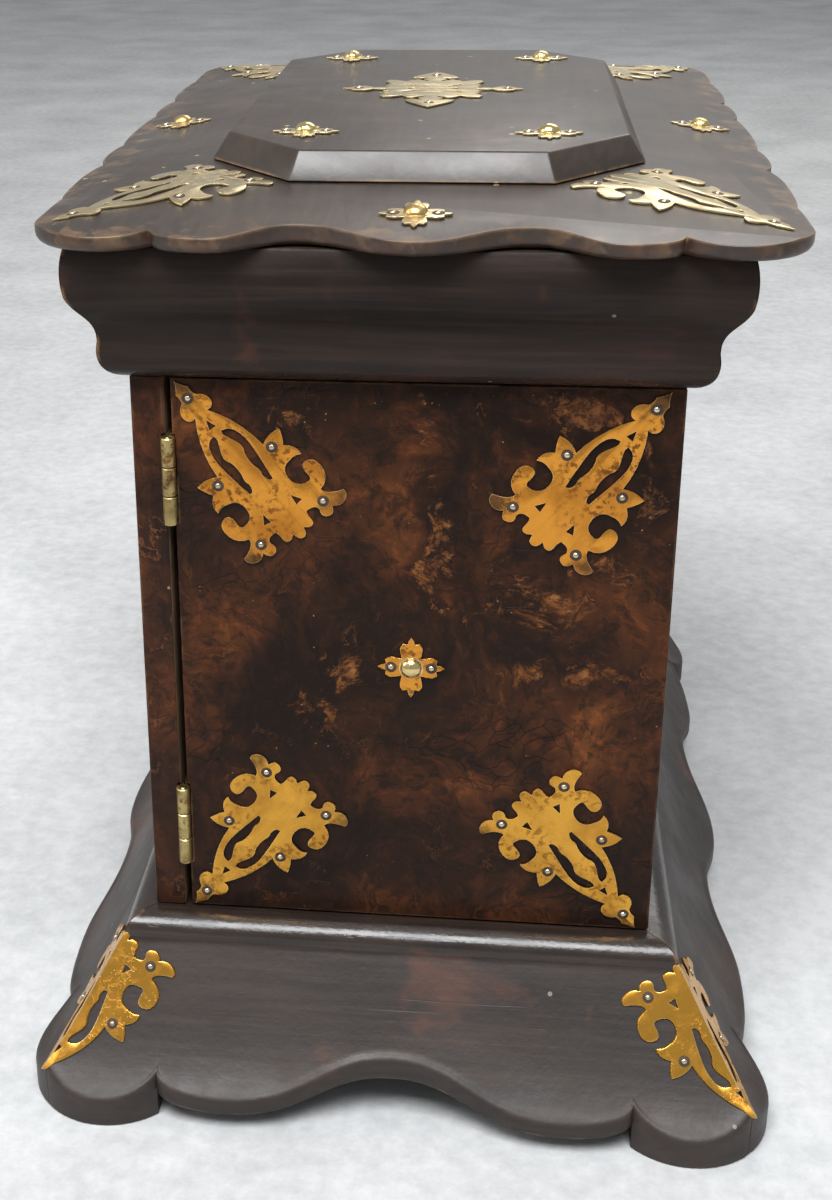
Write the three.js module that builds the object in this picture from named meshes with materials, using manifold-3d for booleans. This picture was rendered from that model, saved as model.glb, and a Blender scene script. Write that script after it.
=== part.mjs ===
// Vanity box: a small deep cabinet with a hinged door in its narrow front,
// a flared scalloped base on four foot lobes, an ogee cornice, a lift-off
// scalloped lid with a raised panel, and pierced brass mounts.
// Millimetres, +Z up. X runs across the door, the door faces -Y,
// and the origin is at the middle of the footprint, on the floor.
import * as THREE from 'three';
import { mergeVertices } from 'three/addons/utils/BufferGeometryUtils.js';
import Module from 'manifold-3d';

const wasm = await Module();
wasm.setup();

// Clearances
const GAP = 0.3;
const DOOR_GAP = 0.6;
const MITRE_GAP = 0.3;

// Carcase
const BODY_WIDTH = 150;
const BODY_DEPTH = 260;
const BODY_HEIGHT = 172;
const SIDE_THICKNESS = 9.1;
const BACK_THICKNESS = 9;
const FLOOR_THICKNESS = 7;
const DOOR_THICKNESS = 9;

// Base skirt
const SKIRT_HEIGHT = 55;
const SKIRT_REACH = 37.5;
const SKIRT_LEDGE = 12;
const BEAD_START = 1.5;
const BEAD_REACH = 8.7;
const BEAD_HEIGHT = 6.5;
const BEAD_FILLET = 1;
const RIM_HEIGHT = 10;
const APRON_THICKNESS = 5.2;
const ARCH_HEIGHT = 15;
const FOOT_RADIUS = 24.5;
const FRONT_CUSP = 71;
const FRONT_LOBE = 50;
const FRONT_ARCH_INSET = 11.7;
const SIDE_CUSP = 125;
const SIDE_LOBE = 90;
const SIDE_DIP = 49;
const SIDE_DIP_INSET = 8.5;
const CENTRE_INSET = 1.5;
const LOBE_INSET = 1.9;

// Cornice
const CORNICE_HEIGHT = 38.7;
const CORNICE_REACH = 14.2;
const CORNICE_FOOT = 7.2;
const CORNICE_BEAD_HEIGHT = 8.4;
const CORNICE_NECK_HEIGHT = 12;
const CORNICE_SWELL_HEIGHT = 24.6;

// Lid
const LID_FRONT_OVERHANG = 22.4;
const LID_SIDE_OVERHANG = 25.8;
const LID_CORNER_OVERHANG = 24.8;
const LID_SHIFT = 3;
const LID_RIM = 4.3;
const LID_RISE = 5.2;
const LID_SLOPE_WIDTH = 38;
const LID_CORNER_RADIUS = 19;
const LID_FRONT_CUSP = 67;
const LID_FRONT_LOBE = 53;
const LID_FRONT_DIP = 30;
const LID_FRONT_DIP_INSET = 10.8;
const LID_SIDE_CUSPS = [28, 60, 108];
const LID_SIDE_PEAKS = [43, 82, 122];
const LID_SIDE_INSETS = [2.2, 3.8, 1.8];

// Raised panel on the lid
const PANEL_HALF_WIDTH = 57;
const PANEL_END_HALF_WIDTH = 33.8;
const PANEL_END_MARGIN = 27;
const PANEL_CHAMFER_LENGTH = 28;
const PANEL_HEIGHT = 7.8;
const PANEL_BEVEL = 5;

// Door hinges
const HINGE_LENGTH = 26;
const HINGE_LOW_MARGIN = 30;
const HINGE_TOP_MARGIN = 30.5;
const HINGE_PROUD = 1.2;
const KNUCKLE_RADIUS = 2;
const KNUCKLE_BORE = 1.1;
const PIN_RADIUS = 0.8;
const KNUCKLE_GAP = 0.4;
const LEAF_THICKNESS = 0.6;
const LEAF_WIDTH = 7;
const NOTCH_CLEARANCE = 0.4;
const TAB_SINK = 0.1;
const TAB_LAP = 1;
const HINGE_SIDES = 8;

// Brass mounts
const PLATE_THICKNESS = 0.9;
const DOOR_MOUNT_LENGTH = 57.4;
const DOOR_MOUNT_EDGE = 0.8;
const DOOR_MOUNT_LEFT_INSET = 1.2;
const DOOR_MOUNT_RIGHT_INSET = 4;
const DOOR_MOUNT_ANGLE = 52;
const LID_MOUNT_LENGTH = 62;
const LID_MOUNT_SIDE_INSET = 6.8;
const LID_MOUNT_END_INSET = 12;
const LID_MOUNT_ANGLE = 46;
const SKIRT_MOUNT_LENGTH = 57.4;
const SKIRT_MOUNT_SPREAD = 1.08;
const SKIRT_MOUNT_TRIM = 12;
const SKIRT_MOUNT_START = -2.5;
const SKIRT_STRAP_WIDTH = 1.9;
const SKIRT_STRAP_LENGTH = 3.4;
const SKIRT_STRAP_LAP = 1;
const BOSS_SPAN = 19.2;
const STUD_RADIUS = 3.1;
const STUD_HEIGHT = 2.6;
const DOOR_BOSS_X = 3;
const LID_BOSS_INSET = 18.4;
const LID_SIDE_BOSS_INSET = 16.3;
const PANEL_BOSS_X = 34.5;
const PANEL_BOSS_MARGIN = 53;
const CARTOUCHE_LENGTH = 74;
const CARTOUCHE_X = -1.7;
const CARTOUCHE_Y = 3;

// Levels and half sizes worked out from the sizes above
const HALF_WIDTH = BODY_WIDTH / 2;
const HALF_DEPTH = BODY_DEPTH / 2;
const BODY_TOP = SKIRT_HEIGHT + BODY_HEIGHT;
const CORNICE_TOP = BODY_TOP + CORNICE_HEIGHT;
const LID_UNDER = CORNICE_TOP + GAP;
const RIM_TOP = LID_UNDER + LID_RIM;
const LID_TOP = RIM_TOP + LID_RISE;
const PANEL_UNDER = LID_TOP + GAP;
const PANEL_TOP = PANEL_UNDER + PANEL_HEIGHT;
const PANEL_HALF_LENGTH = HALF_DEPTH - PANEL_END_MARGIN;
const HINGE_GAP = 2 * LEAF_THICKNESS + 3 * GAP;
const DOOR_LEFT = -HALF_WIDTH + SIDE_THICKNESS + HINGE_GAP;
const DOOR_BACK = -HALF_DEPTH + DOOR_THICKNESS;
const AXIS_X = DOOR_LEFT - HINGE_GAP / 2;
const AXIS_Y = -HALF_DEPTH - HINGE_PROUD;
const PAST = 5;
const FLARE_STEPS = 7;
const STUD_SIDES = 8;
const SKIRT_MOUNT_STEPS = 2;
const FOLD_OVERLAP = 0.1;
const CORNER_CUT = FOOT_RADIUS * (1 - Math.SQRT1_2);
const LID_HALF_WIDTH = HALF_WIDTH + LID_SIDE_OVERHANG;
const LID_HALF_DEPTH = HALF_DEPTH + LID_FRONT_OVERHANG;

// The four sides of the box: its turn about Z, how far its face is from the
// middle, and half its length.
const FRONT = { turn: 0, reach: HALF_DEPTH, half: HALF_WIDTH };
const RIGHT = { turn: Math.PI / 2, reach: HALF_WIDTH, half: HALF_DEPTH };
const BACK = { turn: Math.PI, reach: HALF_DEPTH, half: HALF_WIDTH };
const LEFT = { turn: -Math.PI / 2, reach: HALF_WIDTH, half: HALF_DEPTH };
const SIDES = { front: FRONT, right: RIGHT, back: BACK, left: LEFT };

// Finishes
function finish(color, roughness, metalness) {
  return new THREE.MeshStandardMaterial({ color, roughness, metalness });
}

const VENEER = [0x2c1810, 0.42, 0];
const EBONISED = [0x2a2522, 0.45, 0];
const LID_LACQUER = [0x3a332e, 0.5, 0];
const PLAIN_WOOD = [0x4a3323, 0.7, 0];
const MOUNT_BRASS = [0xb8862f, 0.35, 1];
const HINGE_BRASS = [0x9a8a4c, 0.4, 1];

const box = new THREE.Group();
box.name = 'vanity_box';

function add(name, geometry, [color, roughness, metalness]) {
  const mesh = new THREE.Mesh(geometry, finish(color, roughness, metalness));
  mesh.name = name;
  box.add(mesh);
}

// The lid rests a little to the right of the middle, as in the photograph
function addToLid(name, geometry, look) {
  add(name, geometry.translate(LID_SHIFT, 0, 0), look);
}

// Closed solids: joining and cutting
function toSolid(geometry) {
  const bare = new THREE.BufferGeometry();
  bare.setAttribute('position', geometry.attributes.position.clone());
  if (geometry.index) bare.setIndex(geometry.index.clone());
  const merged = mergeVertices(bare, 1e-4);
  return new wasm.Manifold(new wasm.Mesh({
    numProp: 3,
    vertProperties: new Float32Array(merged.attributes.position.array),
    triVerts: new Uint32Array(merged.index.array),
  }));
}

function toGeometry(solid) {
  const mesh = solid.getMesh();
  const geometry = new THREE.BufferGeometry();
  const flat = new THREE.BufferAttribute(new Float32Array(mesh.vertProperties), 3);
  geometry.setAttribute('position', flat);
  geometry.setIndex(new THREE.BufferAttribute(new Uint32Array(mesh.triVerts), 1));
  return geometry;
}

function join(first, ...others) {
  return toGeometry(others.reduce((sum, next) => sum.add(toSolid(next)), toSolid(first)));
}

function cut(first, ...others) {
  return toGeometry(others.reduce((rest, next) => rest.subtract(toSolid(next)), toSolid(first)));
}

function common(first, ...others) {
  return toGeometry(others.reduce((part, next) => part.intersect(toSolid(next)), toSolid(first)));
}

function mirrored(geometry, matrix) {
  const copy = geometry.clone().applyMatrix4(matrix);
  const order = copy.index.array;
  for (let i = 0; i < order.length; i += 3) {
    const second = order[i + 1];
    order[i + 1] = order[i + 2];
    order[i + 2] = second;
  }
  return copy;
}

// Basic solids
function board(x0, x1, y0, y1, z0, z1) {
  const geometry = new THREE.BoxGeometry(x1 - x0, y1 - y0, z1 - z0);
  return geometry.translate((x0 + x1) / 2, (y0 + y1) / 2, (z0 + z1) / 2);
}

function ringOf(points) {
  const ring = points.map(([x, y]) => new THREE.Vector2(x, y));
  return THREE.ShapeUtils.area(ring) < 0 ? ring.reverse() : ring;
}

function shapeOf(points, holes = []) {
  const shape = new THREE.Shape(ringOf(points));
  shape.holes = holes.map((hole) => new THREE.Path(ringOf(hole)));
  return shape;
}

function prism(points, low, high, holes = []) {
  const options = { depth: high - low, bevelEnabled: false, curveSegments: 1 };
  return new THREE.ExtrudeGeometry(shapeOf(points, holes), options).translate(0, 0, low);
}

function rod(x, y, low, high, radius) {
  const geometry = new THREE.CylinderGeometry(radius, radius, high - low, HINGE_SIDES);
  return geometry.rotateX(Math.PI / 2).translate(x, y, (low + high) / 2);
}

// Curves, as lists of points without their first point
function cubic(start, c1, c2, end, steps) {
  const curve = new THREE.CubicBezierCurve(
    ...[start, c1, c2, end].map(([x, y]) => new THREE.Vector2(x, y)));
  return curve.getPoints(steps).slice(1).map((p) => [p.x, p.y]);
}

function sweepS(start, end, steps = 6) {
  const run = (end[0] - start[0]) * 0.45;
  return cubic(start, [start[0] + run, start[1]], [end[0] - run, end[1]], end, steps);
}

function lobeEnd(start, end, steps = 4) {
  const run = (end[0] - start[0]) * 0.6;
  const drop = (end[1] - start[1]) * 0.5;
  return cubic(start, [start[0] + run, start[1]], [end[0], end[1] - drop], end, steps);
}

function lobeStart(start, end, steps = 4) {
  const run = (end[0] - start[0]) * 0.6;
  const rise = (end[1] - start[1]) * 0.5;
  return cubic(start, [start[0], start[1] + rise], [end[0] - run, end[1]], end, steps);
}

// A scalloped plan outline. Each half edge is a list of [along, out] points
// from the middle of a side outwards; the corner lobe closes it on a circle.
function cornerArc(half, reach, endReach, radius, along) {
  const centre = [half + endReach - radius, reach - radius];
  const first = Math.acos(Math.max(-1, (along - centre[0]) / radius));
  const last = Math.PI / 4;
  const steps = 7;
  const points = [];
  for (let i = 0; i <= steps; i += 1) {
    const angle = first + (last - first) * i / steps;
    points.push([centre[0] + radius * Math.cos(angle), centre[1] + radius * Math.sin(angle)]);
  }
  return points;
}

function fullEdge(halfEdge) {
  const leftHalf = halfEdge.slice(1).reverse().map(([along, out]) => [-along, out]);
  return [...leftHalf, ...halfEdge];
}

function outline(edges) {
  const points = [];
  for (const [side, halfEdge] of edges) {
    const edge = fullEdge(halfEdge).slice(0, -1);
    for (const [along, out] of edge) {
      const y = -(side.reach + out);
      const cos = Math.cos(side.turn);
      const sin = Math.sin(side.turn);
      points.push([along * cos - y * sin, along * sin + y * cos]);
    }
  }
  return points;
}

function skirtHalfEdge(side, stations, cusp) {
  const arc = cornerArc(side.half, SKIRT_REACH, SKIRT_REACH, FOOT_RADIUS, cusp);
  const points = [stations[0]];
  for (const station of stations.slice(1)) {
    points.push(...sweepS(points.at(-1), station));
  }
  points.push(...lobeEnd(points.at(-1), arc[0]));
  return [...points, ...arc.slice(1)];
}

function skirtOutline() {
  const front = skirtHalfEdge(FRONT, [
    [0, SKIRT_REACH - FRONT_ARCH_INSET],
    [FRONT_LOBE, SKIRT_REACH - LOBE_INSET],
  ], FRONT_CUSP);
  const side = skirtHalfEdge(RIGHT, [
    [0, SKIRT_REACH - CENTRE_INSET],
    [SIDE_DIP, SKIRT_REACH - SIDE_DIP_INSET],
    [SIDE_LOBE, SKIRT_REACH - LOBE_INSET],
  ], SIDE_CUSP);
  return outline([[FRONT, front], [RIGHT, side], [BACK, front], [LEFT, side]]);
}

function lidFrontEdge() {
  const reach = LID_FRONT_OVERHANG;
  const arc = cornerArc(FRONT.half, reach, LID_CORNER_OVERHANG, LID_CORNER_RADIUS, LID_FRONT_CUSP);
  const edge = [[0, reach]];
  edge.push(...sweepS(edge.at(-1), [LID_FRONT_DIP, reach - LID_FRONT_DIP_INSET], 5));
  edge.push(...sweepS(edge.at(-1), [LID_FRONT_LOBE, reach], 5));
  edge.push(...lobeEnd(edge.at(-1), arc[0], 3));
  return [...edge, ...arc.slice(1)];
}

function lidSideEdge() {
  const reach = LID_SIDE_OVERHANG;
  const cornerReach = LID_CORNER_OVERHANG;
  const peaks = [reach, reach, cornerReach];
  const arcStart = LID_HALF_DEPTH - LID_CORNER_RADIUS;
  const edge = [[0, reach]];
  LID_SIDE_CUSPS.forEach((cusp, i) => {
    edge.push(...lobeEnd(edge.at(-1), [cusp, reach - LID_SIDE_INSETS[i]], 4));
    edge.push(...lobeStart(edge.at(-1), [LID_SIDE_PEAKS[i], peaks[i]], 3));
  });
  edge.push(...cornerArc(RIGHT.half, cornerReach, LID_FRONT_OVERHANG, LID_CORNER_RADIUS, arcStart));
  return edge;
}

function lidOutline() {
  const front = lidFrontEdge();
  const side = lidSideEdge();
  return outline([[FRONT, front], [RIGHT, side], [BACK, front], [LEFT, side]]);
}

// Mouldings: a section of [out, z] points runs along one side and is cut to
// its mitres.
function alongSide(section, side) {
  const length = 2 * (side.half + SKIRT_REACH + PAST);
  const geometry = prism(section, -length / 2, length / 2);
  const basis = new THREE.Matrix4().makeBasis(
    new THREE.Vector3(0, -1, 0), new THREE.Vector3(0, 0, 1), new THREE.Vector3(-1, 0, 0));
  return geometry.applyMatrix4(basis).translate(0, -side.reach, 0);
}

function mitreWedge(side, inner, outer, height, ease) {
  const points = [
    [-(side.half + outer - ease), -(side.reach + outer)],
    [side.half + outer - ease, -(side.reach + outer)],
    [side.half - inner - ease, -(side.reach - inner)],
    [-(side.half - inner - ease), -(side.reach - inner)],
  ];
  return prism(points, -PAST, height + PAST);
}

function turned(geometry, side) {
  return geometry.rotateZ(side.turn);
}

// The skirt's outer line: a bead, then a flare down to the rim
function beadLine() {
  const rise = BEAD_HEIGHT - BEAD_FILLET;
  const points = [[0, SKIRT_HEIGHT]];
  for (const angle of [60, 30, 0]) {
    const turn = THREE.MathUtils.degToRad(angle);
    const out = BEAD_START + (BEAD_REACH - BEAD_START) * Math.cos(turn);
    points.push([out, SKIRT_HEIGHT - rise + rise * Math.sin(turn)]);
  }
  return points;
}

function flareLine(steps) {
  const start = [BEAD_REACH, SKIRT_HEIGHT - BEAD_HEIGHT];
  const end = [SKIRT_REACH, RIM_HEIGHT];
  const fall = start[1] - end[1];
  const run = end[0] - start[0];
  const first = [start[0] + run * 0.36, start[1] - fall * 0.44];
  const second = [start[0] + run * 0.62, end[1] + fall * 0.12];
  return [start, ...cubic(start, first, second, end, steps)];
}

function skirtLine() {
  return [...beadLine(), ...flareLine(FLARE_STEPS)];
}

function lineHeight(line, out) {
  for (let i = 1; i < line.length; i += 1) {
    const [a, b] = [line[i - 1], line[i]];
    if (out <= b[0] && b[0] > a[0]) {
      return a[1] + (b[1] - a[1]) * (out - a[0]) / (b[0] - a[0]);
    }
  }
  return line.at(-1)[1];
}

function skirtSection() {
  const past = SKIRT_REACH + PAST;
  return [[-SKIRT_LEDGE, 0], [past, 0], [past, RIM_HEIGHT], ...skirtLine().reverse(),
    [-SKIRT_LEDGE, SKIRT_HEIGHT]];
}

// The hollow under the apron, between the feet: flat inside, and one apron
// thickness below the flare where that comes lower than the arch.
function apronHollow(side, cusp) {
  const past = SKIRT_REACH + PAST;
  const line = skirtLine();
  const under = line
    .map(([out, z]) => [out, z - APRON_THICKNESS])
    .filter(([, z]) => z < ARCH_HEIGHT);
  const first = under[0];
  const section = [
    [-SKIRT_LEDGE - PAST, -PAST], [past, -PAST], [past, lineHeight(line, past) - APRON_THICKNESS],
    ...under.reverse(), [first[0] - 1, ARCH_HEIGHT], [-SKIRT_LEDGE - PAST, ARCH_HEIGHT],
  ];
  const between = board(-cusp, cusp, -(side.reach + past + PAST), 0, -PAST, SKIRT_HEIGHT);
  return common(alongSide(section, side), between);
}

function skirtPiece(side, cusp, plan) {
  const blank = common(
    alongSide(skirtSection(), side),
    mitreWedge(side, SKIRT_LEDGE + PAST, SKIRT_REACH + PAST, SKIRT_HEIGHT, MITRE_GAP / 2));
  const piece = turned(cut(blank, apronHollow(side, cusp)), side);
  return common(piece, plan);
}

function buildBase() {
  const plan = prism(skirtOutline(), -PAST, SKIRT_HEIGHT + PAST);
  for (const [name, side] of Object.entries(SIDES)) {
    const cusp = side.half === FRONT.half ? FRONT_CUSP : SIDE_CUSP;
    add(`base_${name}`, skirtPiece(side, cusp, plan), EBONISED);
  }
}

// Cornice: soffit, lower bead, cove and top ovolo, as mitred lengths
function corniceSection() {
  const foot = CORNICE_FOOT;
  const reach = CORNICE_REACH;
  const start = [foot * 0.08, BODY_TOP];
  const bead = [foot, BODY_TOP + CORNICE_BEAD_HEIGHT];
  const neck = [foot * 0.96, BODY_TOP + CORNICE_NECK_HEIGHT];
  const swell = [reach * 0.95, BODY_TOP + CORNICE_SWELL_HEIGHT];
  const top = [reach * 0.9, CORNICE_TOP];
  const between = (low, high, share) => low[1] + (high[1] - low[1]) * share;
  const beadCurve = [[foot * 0.75, between(start, bead, 0.12)], [foot, between(start, bead, 0.54)]];
  const coveCurve = [[neck[0], between(neck, swell, 0.44)], [reach * 0.82, between(neck, swell, 0.6)]];
  const ovoloCurve = [0.29, 0.7].map((share) => [reach * 1.02, between(swell, top, share)]);
  return [
    [-SIDE_THICKNESS, BODY_TOP], start,
    ...cubic(start, ...beadCurve, bead, 4), neck,
    ...cubic(neck, ...coveCurve, swell, 5),
    ...cubic(swell, ...ovoloCurve, top, 4),
    [-SIDE_THICKNESS, CORNICE_TOP],
  ];
}

function buildCornice() {
  for (const [name, side] of Object.entries(SIDES)) {
    const length = alongSide(corniceSection(), side);
    const inner = SIDE_THICKNESS + PAST;
    const wedge = mitreWedge(side, inner, CORNICE_REACH + PAST, CORNICE_TOP, MITRE_GAP / 2);
    add(`cornice_${name}`, turned(common(length, wedge), side), EBONISED);
  }
}

// Hinges: their height spans, and the notches for their knuckles in the door
// and in the left side
function hingeSpans() {
  const centres = [SKIRT_HEIGHT + HINGE_LOW_MARGIN, BODY_TOP - HINGE_TOP_MARGIN];
  return centres.map((centre) => [centre - HINGE_LENGTH / 2, centre + HINGE_LENGTH / 2]);
}

function knuckleNotches() {
  return hingeSpans().map(([low, high]) => rod(AXIS_X, AXIS_Y, low - DOOR_GAP, high + DOOR_GAP,
    KNUCKLE_RADIUS + NOTCH_CLEARANCE));
}

// Carcase
function buildCarcase() {
  const low = SKIRT_HEIGHT + GAP;
  const high = BODY_TOP - GAP;
  const inner = HALF_WIDTH - SIDE_THICKNESS;
  const backFace = HALF_DEPTH - BACK_THICKNESS;
  const frontEnd = DOOR_BACK + GAP;
  const left = board(-HALF_WIDTH, -inner, -HALF_DEPTH, backFace - GAP, low, high);
  add('side_left', cut(left, ...knuckleNotches()), VENEER);
  add('side_right', board(inner, HALF_WIDTH, frontEnd, backFace - GAP, low, high), VENEER);
  add('back', board(-HALF_WIDTH, HALF_WIDTH, backFace, HALF_DEPTH, low, high), VENEER);
  add('floor', board(-inner + GAP, inner - GAP, frontEnd, backFace - GAP, low, low + FLOOR_THICKNESS),
    PLAIN_WOOD);
}

// Door: covers the right side's edge, meets the left side beside the hinges
function buildDoor() {
  const low = SKIRT_HEIGHT + DOOR_GAP;
  const high = BODY_TOP - DOOR_GAP;
  const panel = board(DOOR_LEFT, HALF_WIDTH, -HALF_DEPTH, DOOR_BACK, low, high);
  add('door', cut(panel, ...knuckleNotches()), VENEER);
}

// One butt hinge: two leaves in the gap, three knuckles and a pin
function knuckle(low, high) {
  const ring = rod(AXIS_X, AXIS_Y, low, high, KNUCKLE_RADIUS);
  return cut(ring, rod(AXIS_X, AXIS_Y, low - PAST, high + PAST, KNUCKLE_BORE));
}

function leaf(low, high, spans, x0, x1) {
  const plateStart = AXIS_Y + KNUCKLE_RADIUS + NOTCH_CLEARANCE;
  const plateEnd = -HALF_DEPTH + LEAF_WIDTH;
  const plate = board(x0, x1, plateStart, plateEnd, low, high);
  const tabStart = AXIS_Y + (KNUCKLE_RADIUS + KNUCKLE_BORE) / 2 - TAB_SINK;
  const tabs = spans.map(([a, b]) => board(x0, x1, tabStart, plateStart + TAB_LAP, a, b));
  const knuckles = spans.map(([a, b]) => knuckle(a, b));
  return join(plate, ...tabs, ...knuckles);
}

function buildHinges() {
  const near = GAP / 2;
  const far = near + LEAF_THICKNESS;
  const labels = ['lower', 'upper'];
  hingeSpans().forEach(([low, high], i) => {
    const third = (high - low) / 3;
    const ends = [[low, low + third - KNUCKLE_GAP / 2], [high - third + KNUCKLE_GAP / 2, high]];
    const middle = [[low + third + KNUCKLE_GAP / 2, high - third - KNUCKLE_GAP / 2]];
    add(`hinge_${labels[i]}_side_leaf`, leaf(low, high, ends, AXIS_X - far, AXIS_X - near), HINGE_BRASS);
    add(`hinge_${labels[i]}_door_leaf`, leaf(low, high, middle, AXIS_X + near, AXIS_X + far), HINGE_BRASS);
    add(`hinge_${labels[i]}_pin`, rod(AXIS_X, AXIS_Y, low, high, PIN_RADIUS), HINGE_BRASS);
  });
}

// Lid board: scalloped rim, and a top that rises gently to the panel
function lidTop(lift) {
  const drop = LID_RIM + PAST;
  const slope = LID_SLOPE_WIDTH / LID_RISE;
  const low = [LID_HALF_WIDTH + slope * drop, LID_HALF_DEPTH + slope * drop];
  const high = [LID_HALF_WIDTH - LID_SLOPE_WIDTH, LID_HALF_DEPTH - LID_SLOPE_WIDTH];
  const ring = ([x, y]) => [[-x, -y], [x, -y], [x, y], [-x, y]];
  return frustum([[ring(low), RIM_TOP - drop + lift], [ring(high), LID_TOP + lift]]);
}

// A closed solid between two level outlines with the same number of points
function frustum([[lower, low], [upper, high]]) {
  const count = lower.length;
  const position = [...lower.map(([x, y]) => [x, y, low]), ...upper.map(([x, y]) => [x, y, high])].flat();
  const index = [];
  for (let i = 0; i < count; i += 1) {
    const j = (i + 1) % count;
    index.push(i, j, count + j, i, count + j, count + i);
  }
  for (let i = 1; i < count - 1; i += 1) {
    index.push(0, i + 1, i, count, count + i, count + i + 1);
  }
  const geometry = new THREE.BufferGeometry();
  geometry.setAttribute('position', new THREE.Float32BufferAttribute(position, 3));
  geometry.setIndex(index);
  return geometry;
}

function buildLidBoard() {
  const blank = prism(lidOutline(), LID_UNDER, LID_TOP + PAST);
  addToLid('lid_board', common(blank, lidTop(0)), LID_LACQUER);
}

function octagon(grow) {
  const end = PANEL_END_HALF_WIDTH;
  const side = PANEL_HALF_WIDTH;
  const y0 = PANEL_HALF_LENGTH;
  const y1 = PANEL_HALF_LENGTH - PANEL_CHAMFER_LENGTH;
  const slant = Math.hypot(side - end, y0 - y1);
  const endShift = grow * (slant - (side - end)) / (y0 - y1);
  const sideShift = grow * (slant - (y0 - y1)) / (side - end);
  const quarter = [[end + endShift, y0 + grow], [side + grow, y1 + sideShift]];
  const [a, b] = quarter;
  return [[-a[0], -a[1]], [a[0], -a[1]], [b[0], -b[1]], [b[0], b[1]], [a[0], a[1]], [-a[0], a[1]],
    [-b[0], b[1]], [-b[0], -b[1]]];
}

function buildPanel() {
  const panel = frustum([[octagon(PANEL_BEVEL), PANEL_UNDER], [octagon(0), PANEL_TOP]]);
  addToLid('lid_panel', panel, LID_LACQUER);
}

// Corner mount, drawn with its tip at the origin and its axis along +X.
// Each step is a line [x, y] or a curve [control x, control y, x, y].
const MOUNT_EDGE = [
  [1.4, 0.4, 3.6, 2.2], [4.8, 1.8, 6.4, 2.4], [8.0, 5.6, 10.6, 4.8], [12.4, 4.0, 11.9, 2.4],
  [20.0, 7.8, 28.9, 8.2], [27.0, 11.2, 27.9, 14.8], [30.4, 14.2, 32.4, 12.4], [34.4, 15.8, 37.6, 15.0],
  [36.0, 13.0, 36.9, 11.2], [37.2, 7.8, 40.8, 7.8], [44.8, 7.9, 44.2, 12.6],
  [40.4, 12.4, 39.6, 14.6], [39.8, 17.3, 43.0, 17.3], [47.6, 17.2, 48.8, 12.9],
  [51.6, 13.6, 52.6, 18.0], [55.6, 17.6, 55.2, 14.6], [54.6, 13.2, 54.2, 12.4],
  [57.2, 11.4, 56.0, 9.2], [54.8, 7.4, 52.8, 8.8], [50.8, 8.4, 51.6, 5.2], [56.6, 6.4, 54.9, 2.0],
  [57.6, 1.6, 57.4, 0],
];
const MOUNT_SLOT = [
  [19.2, 1.4], [20.4, 4.2], [25.6, 5.0], [38.0, 3.6],
  [31.6, 2.0], [28.4, 2.3], [26.0, 3.6], [22.2, 1.8],
];
const MOUNT_EYE = [[13.8, 0], [16.8, 0.9], [16.8, -0.9]];
const MOUNT_SPANDREL = [[45.0, 5.0], [48.2, 4.5], [47.9, 6.9]];
const MOUNT_DRAWN_LENGTH = 57.4;
const LONG_STEP = 8;

function halfMountEdge() {
  const points = [[0, 0]];
  for (const step of MOUNT_EDGE) {
    const last = points.at(-1);
    const [cx, cy, x, y] = step;
    const long = Math.hypot(x - last[0], y - last[1]) > LONG_STEP;
    const curve = new THREE.QuadraticBezierCurve(new THREE.Vector2(...last),
      new THREE.Vector2(cx, cy), new THREE.Vector2(x, y));
    points.push(...curve.getPoints(long ? 2 : 1).slice(1).map((p) => [p.x, p.y]));
  }
  return points;
}

const across = ([x, y]) => [x, -y];

function mountPlate(length, low, high) {
  const half = halfMountEdge();
  const other = half.slice(1, -1).reverse().map(across);
  const sideHoles = [MOUNT_SLOT, MOUNT_SPANDREL];
  const holes = [MOUNT_EYE, ...sideHoles, ...sideHoles.map((hole) => hole.map(across))];
  const size = length / MOUNT_DRAWN_LENGTH;
  return prism([...half, ...other], low, high, holes).scale(size, size, 1);
}

// Door mounts: flat plates on the door's face, tips in its four corners
function onDoorFace(geometry, x, z, degrees) {
  geometry.rotateZ(THREE.MathUtils.degToRad(degrees)).rotateX(Math.PI / 2);
  return geometry.translate(x, -HALF_DEPTH - GAP, z);
}

function buildDoorMounts() {
  const left = DOOR_LEFT + DOOR_MOUNT_LEFT_INSET;
  const right = HALF_WIDTH - DOOR_MOUNT_RIGHT_INSET;
  const low = SKIRT_HEIGHT + DOOR_GAP + DOOR_MOUNT_EDGE;
  const high = BODY_TOP - DOOR_GAP - DOOR_MOUNT_EDGE;
  const angle = DOOR_MOUNT_ANGLE;
  const places = {
    upper_left: [left, high, -angle], upper_right: [right, high, 180 + angle],
    lower_left: [left, low, angle], lower_right: [right, low, 180 - angle],
  };
  for (const [name, [x, z, degrees]] of Object.entries(places)) {
    const plate = mountPlate(DOOR_MOUNT_LENGTH, 0, PLATE_THICKNESS);
    add(`door_mount_${name}`, onDoorFace(plate, x, z, degrees), MOUNT_BRASS);
  }
}

// Lid mounts: plates that follow the lid's slopes, tips in its corners
function buildLidMounts() {
  const x = LID_HALF_WIDTH - LID_MOUNT_SIDE_INSET;
  const y = LID_HALF_DEPTH - LID_MOUNT_END_INSET;
  const angle = LID_MOUNT_ANGLE;
  const places = {
    front_left: [-x, -y, angle], front_right: [x, -y, 180 - angle],
    back_right: [x, y, 180 + angle], back_left: [-x, y, -angle],
  };
  const sheet = cut(lidTop(GAP + PLATE_THICKNESS), lidTop(GAP));
  for (const [name, [tipX, tipY, degrees]] of Object.entries(places)) {
    const stamp = mountPlate(LID_MOUNT_LENGTH, RIM_TOP - PAST, LID_TOP + PAST);
    stamp.rotateZ(THREE.MathUtils.degToRad(degrees)).translate(tipX, tipY, 0);
    addToLid(`lid_mount_${name}`, common(stamp, sheet), MOUNT_BRASS);
  }
}

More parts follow.
